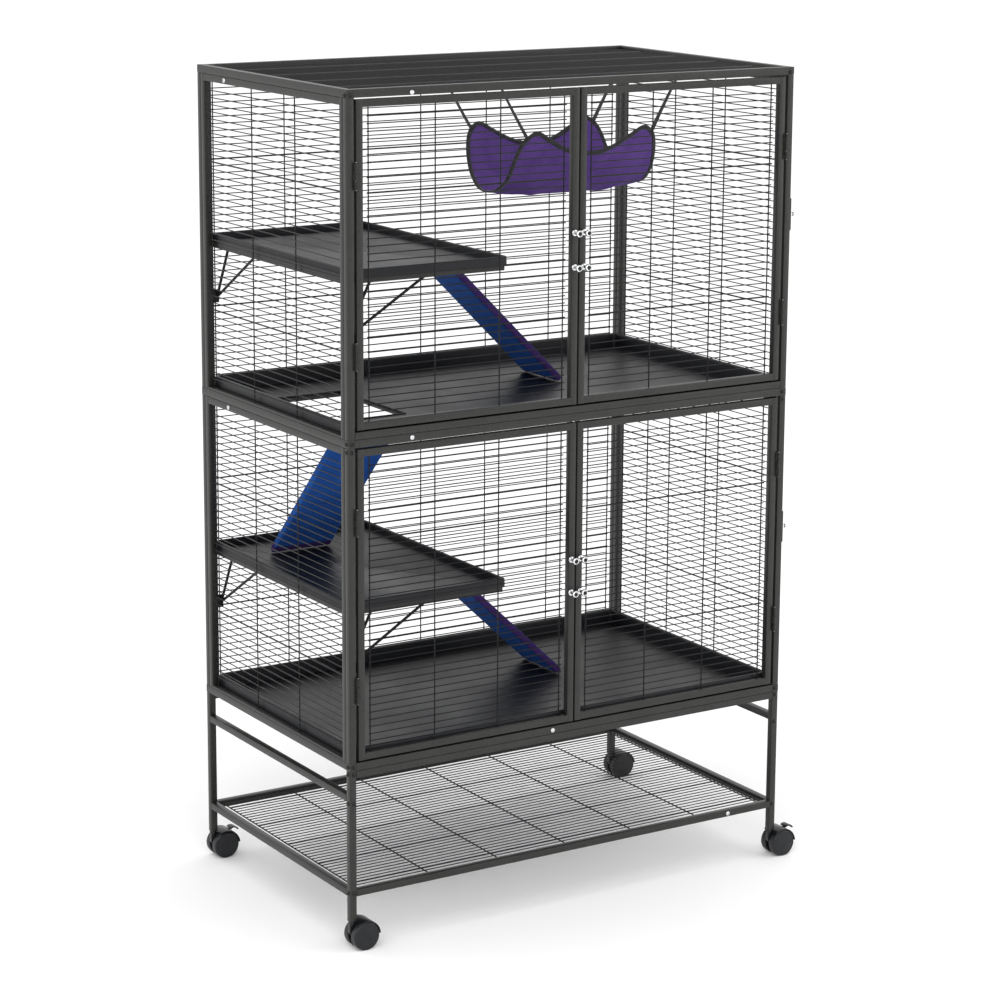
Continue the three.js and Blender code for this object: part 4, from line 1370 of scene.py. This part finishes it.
STRAP_FOOT, STRAP_HEAD = 11, 4.5  # widths
for x_label, x_side in (("left", -1), ("right", 1)):
    for y_label, y_side in (("front", -1), ("back", 1)):
        node = f"hammock_strap_{y_label}_{x_label}"
        low, high = corners_of(node)
        y = (low.y + high.y) / 2
        sewn = hammock_point(x_side * 0.96, y_side * 0.96)
        foot = (hammock_middle - CORNER) / MM + sewn
        head = Vector((low.x + 1 if x_side < 0 else high.x - 1, y, high.z - 0.6))
        piece = strap(f"strap_{y_label}_{x_label}", foot, head, STRAP_FOOT, STRAP_HEAD)
        set_down(piece)
        stands_for(piece, node)

# %% [markdown]
# ## Casters
#
# Twin-wheel casters: two discs with a plain face and a raised rim line, a body between them that
# spreads into a hood over the top, and a stem that goes up into the leg. Two of them have a brake
# lever. One caster is modelled about its swivel axis and copied to the four corners.

# %% Wheels
TRAIL, AXLE_Z = 19, 25


def wheel(side_of):
    """One wheel about the axle at the origin, its face towards -Y or +Y."""
    steps = [
        (4, 4.6),
        (21.5, 4.6),
        (23.6, 5.0),
        (24.7, 6.2),
        (24.98, 8.0),
        (24.98, 16.6),
        (24.6, 18.2),
        (23.6, 19.2),
        (22.6, 19.55),
        (21.9, 19.5),
        (21.6, 19.0),
        (21.1, 18.9),
        (20.4, 19.1),
        (6, 19.3),
    ]
    disc = turned(steps, caster_nylon, 48)
    disc.data.materials.append(tyre_rubber)
    for face in disc.data.polygons:
        radius = math.hypot(face.center.x, face.center.y) / MM
        face.material_index = 1 if radius > 24.3 else 0
    return turned_to(disc, x=90 if side_of < 0 else -90)


def wheel_pair():
    axle = bar((0, -8, 0), (0, 8, 0), 3, black_steel, 16)
    return join("wheels", [wheel(-1), wheel(1), axle], 30)


# %% Caster body
def extruded_outline(outline, half_width, material, rounding):
    """An outline of (x, z) points given a width along Y, with softened edges."""
    mesh = bpy.data.meshes.new("outline")
    points = [(x * MM, -half_width * MM, z * MM) for x, z in outline]
    mesh.from_pydata(points, [], [range(len(points))])
    piece = added("outline", mesh)
    edit(piece, "FACE", lambda face: True)
    bpy.ops.mesh.extrude_region_move(
        TRANSFORM_OT_translate={"value": (0, 2 * half_width * MM, 0)}
    )
    bpy.ops.mesh.select_all(action="SELECT")
    bpy.ops.mesh.normals_make_consistent(inside=False)
    close_edit()

    def rim_edge(edge):
        a, b = ends(piece, edge)
        return abs(a.y - b.y) < 0.01

    edit(piece, "EDGE", rim_edge)
    bpy.ops.mesh.bevel(offset=rounding * MM, segments=3, affect="EDGES")
    close_edit()
    return painted(piece, material)


def spread_angles(start, end, count):
    return [math.radians(start + (end - start) * i / count) for i in range(count + 1)]


def round_the_axle(radius, start, end, count):
    angles = spread_angles(start, end, count)
    return [(TRAIL + radius * math.cos(a), AXLE_Z + radius * math.sin(a)) for a in angles]


def caster_frame():
    """Core between the wheels, hood over them, neck and stem."""
    top = 51.7
    core = round_the_axle(17, -135, 72, 24) + [(TRAIL, top - 3), (-6, top - 1), (-6, AXLE_Z + 6)]
    hood = round_the_axle(28, 4, 130, 36) + round_the_axle(25.8, 130, 4, 36)
    neck_steps = [(4.6, 44), (5.9, 46), (6, 48), (6, top - 0.6), (5.4, top), (4, top + 0.2)]
    neck = turned([*neck_steps, (4, top + 18)], caster_nylon, 24)
    return join(
        "caster",
        [
            extruded_outline(core, 4, caster_nylon, 0.5),
            extruded_outline(hood, 19, caster_nylon, 0.7),
            neck,
        ],
        40,
    )


def lever():
    """A brake lever: a short neck on its pivot that carries a broad, arched thumb tab."""
    arch = [(4.5 + 10 * math.sin(a), -4.5 + 8.3 * math.cos(a)) for a in spread_angles(-58, 72, 14)]
    under = [(4.5 + 8 * math.sin(a), -4.5 + 6.0 * math.cos(a)) for a in spread_angles(72, -58, 14)]
    tab = extruded_outline(arch + under, 9.0, caster_nylon, 0.6)
    neck_outline = [(-2.2, -2.6), (1.6, -2.8), (4.2, 1.6), (-1.2, 1.6)]
    neck = extruded_outline(neck_outline, 4.5, caster_nylon, 0.5)
    return join("lever", [tab, neck], 40)


# %% Set the casters
body_pattern, wheels_pattern, lever_pattern = caster_frame(), wheel_pair(), lever()
for corner, (w, d) in legs.items():
    w, d = w + TUBE / 2, d + TUBE / 2
    body = copied(body_pattern, f"caster_frame_{corner}")
    set_down(body, (w, d, 0))
    stands_for(body, f"caster_body_{corner}", f"caster_{corner}")
    pair = copied(wheels_pattern, f"twin_wheels_{corner}")
    set_down(pair, (w + TRAIL, d, AXLE_Z))
    stands_for(pair, f"caster_wheels_{corner}", f"wheels_{corner}")
    if corner in ("front_right", "back_left"):
        pivot = Vector(joints[f"brake_lever_{corner}_press"]["pos_m"])
        tab = copied(lever_pattern, f"lever_{corner}")
        tab.rotation_euler = (0, math.radians(6), 0)
        tab.location = pivot
        settle(tab)
        tab = join(tab.name, [tab], 40)
        node = f"brake_lever_{corner}"
        stands_for(tab, node, node)
for spare in (body_pattern, wheels_pattern, lever_pattern):
    bpy.data.objects.remove(spare)
print("4 casters, 2 with levers")

# %% [markdown]
# ## Floor and light
#
# A product photograph on white: a pale floor that runs out of sight, a bright even sky, one large
# soft lamp from the front left and a weaker one from the right, so the tubes show a lit and a
# shaded side.

# %% Studio
only()
bpy.ops.mesh.primitive_plane_add(size=40, location=(0, 0, 0))
studio_floor = bpy.context.object
studio_floor.name = "studio_floor"
floor_paint, tree, shader = new_material("studio_floor", "#ffffff", 0.9, Specular_IOR_Level=0.1)
painted(studio_floor, floor_paint)

world = bpy.data.worlds.new("studio")
world.use_nodes = True
world.node_tree.nodes["Background"].inputs["Color"].default_value = (1, 1, 1, 1)
world.node_tree.nodes["Background"].inputs["Strength"].default_value = 1.1
bpy.context.scene.world = world
bpy.context.scene.view_settings.view_transform = "Standard"


def soft_lamp(name, where, aim, size, power):
    data = bpy.data.lights.new(name, "AREA")
    data.shape = "SQUARE"
    data.size = size
    data.energy = power
    lamp = added(name, data)
    lamp.location = where
    lamp.rotation_mode = "QUATERNION"
    lamp.rotation_quaternion = (Vector(aim) - Vector(where)).to_track_quat("-Z", "Y")
    return lamp


soft_lamp("key_lamp", (-2.6, -3.4, 3.6), (0, 0, 0.7), 3.2, 80)
soft_lamp("fill_lamp", (3.4, -2.4, 2.0), (0, 0, 0.7), 3.2, 30)
print("studio ready")

# %% [markdown]
# ## Finish
#
# The view layer is brought up to date once more.

# %% Finish
bpy.context.view_layer.update()
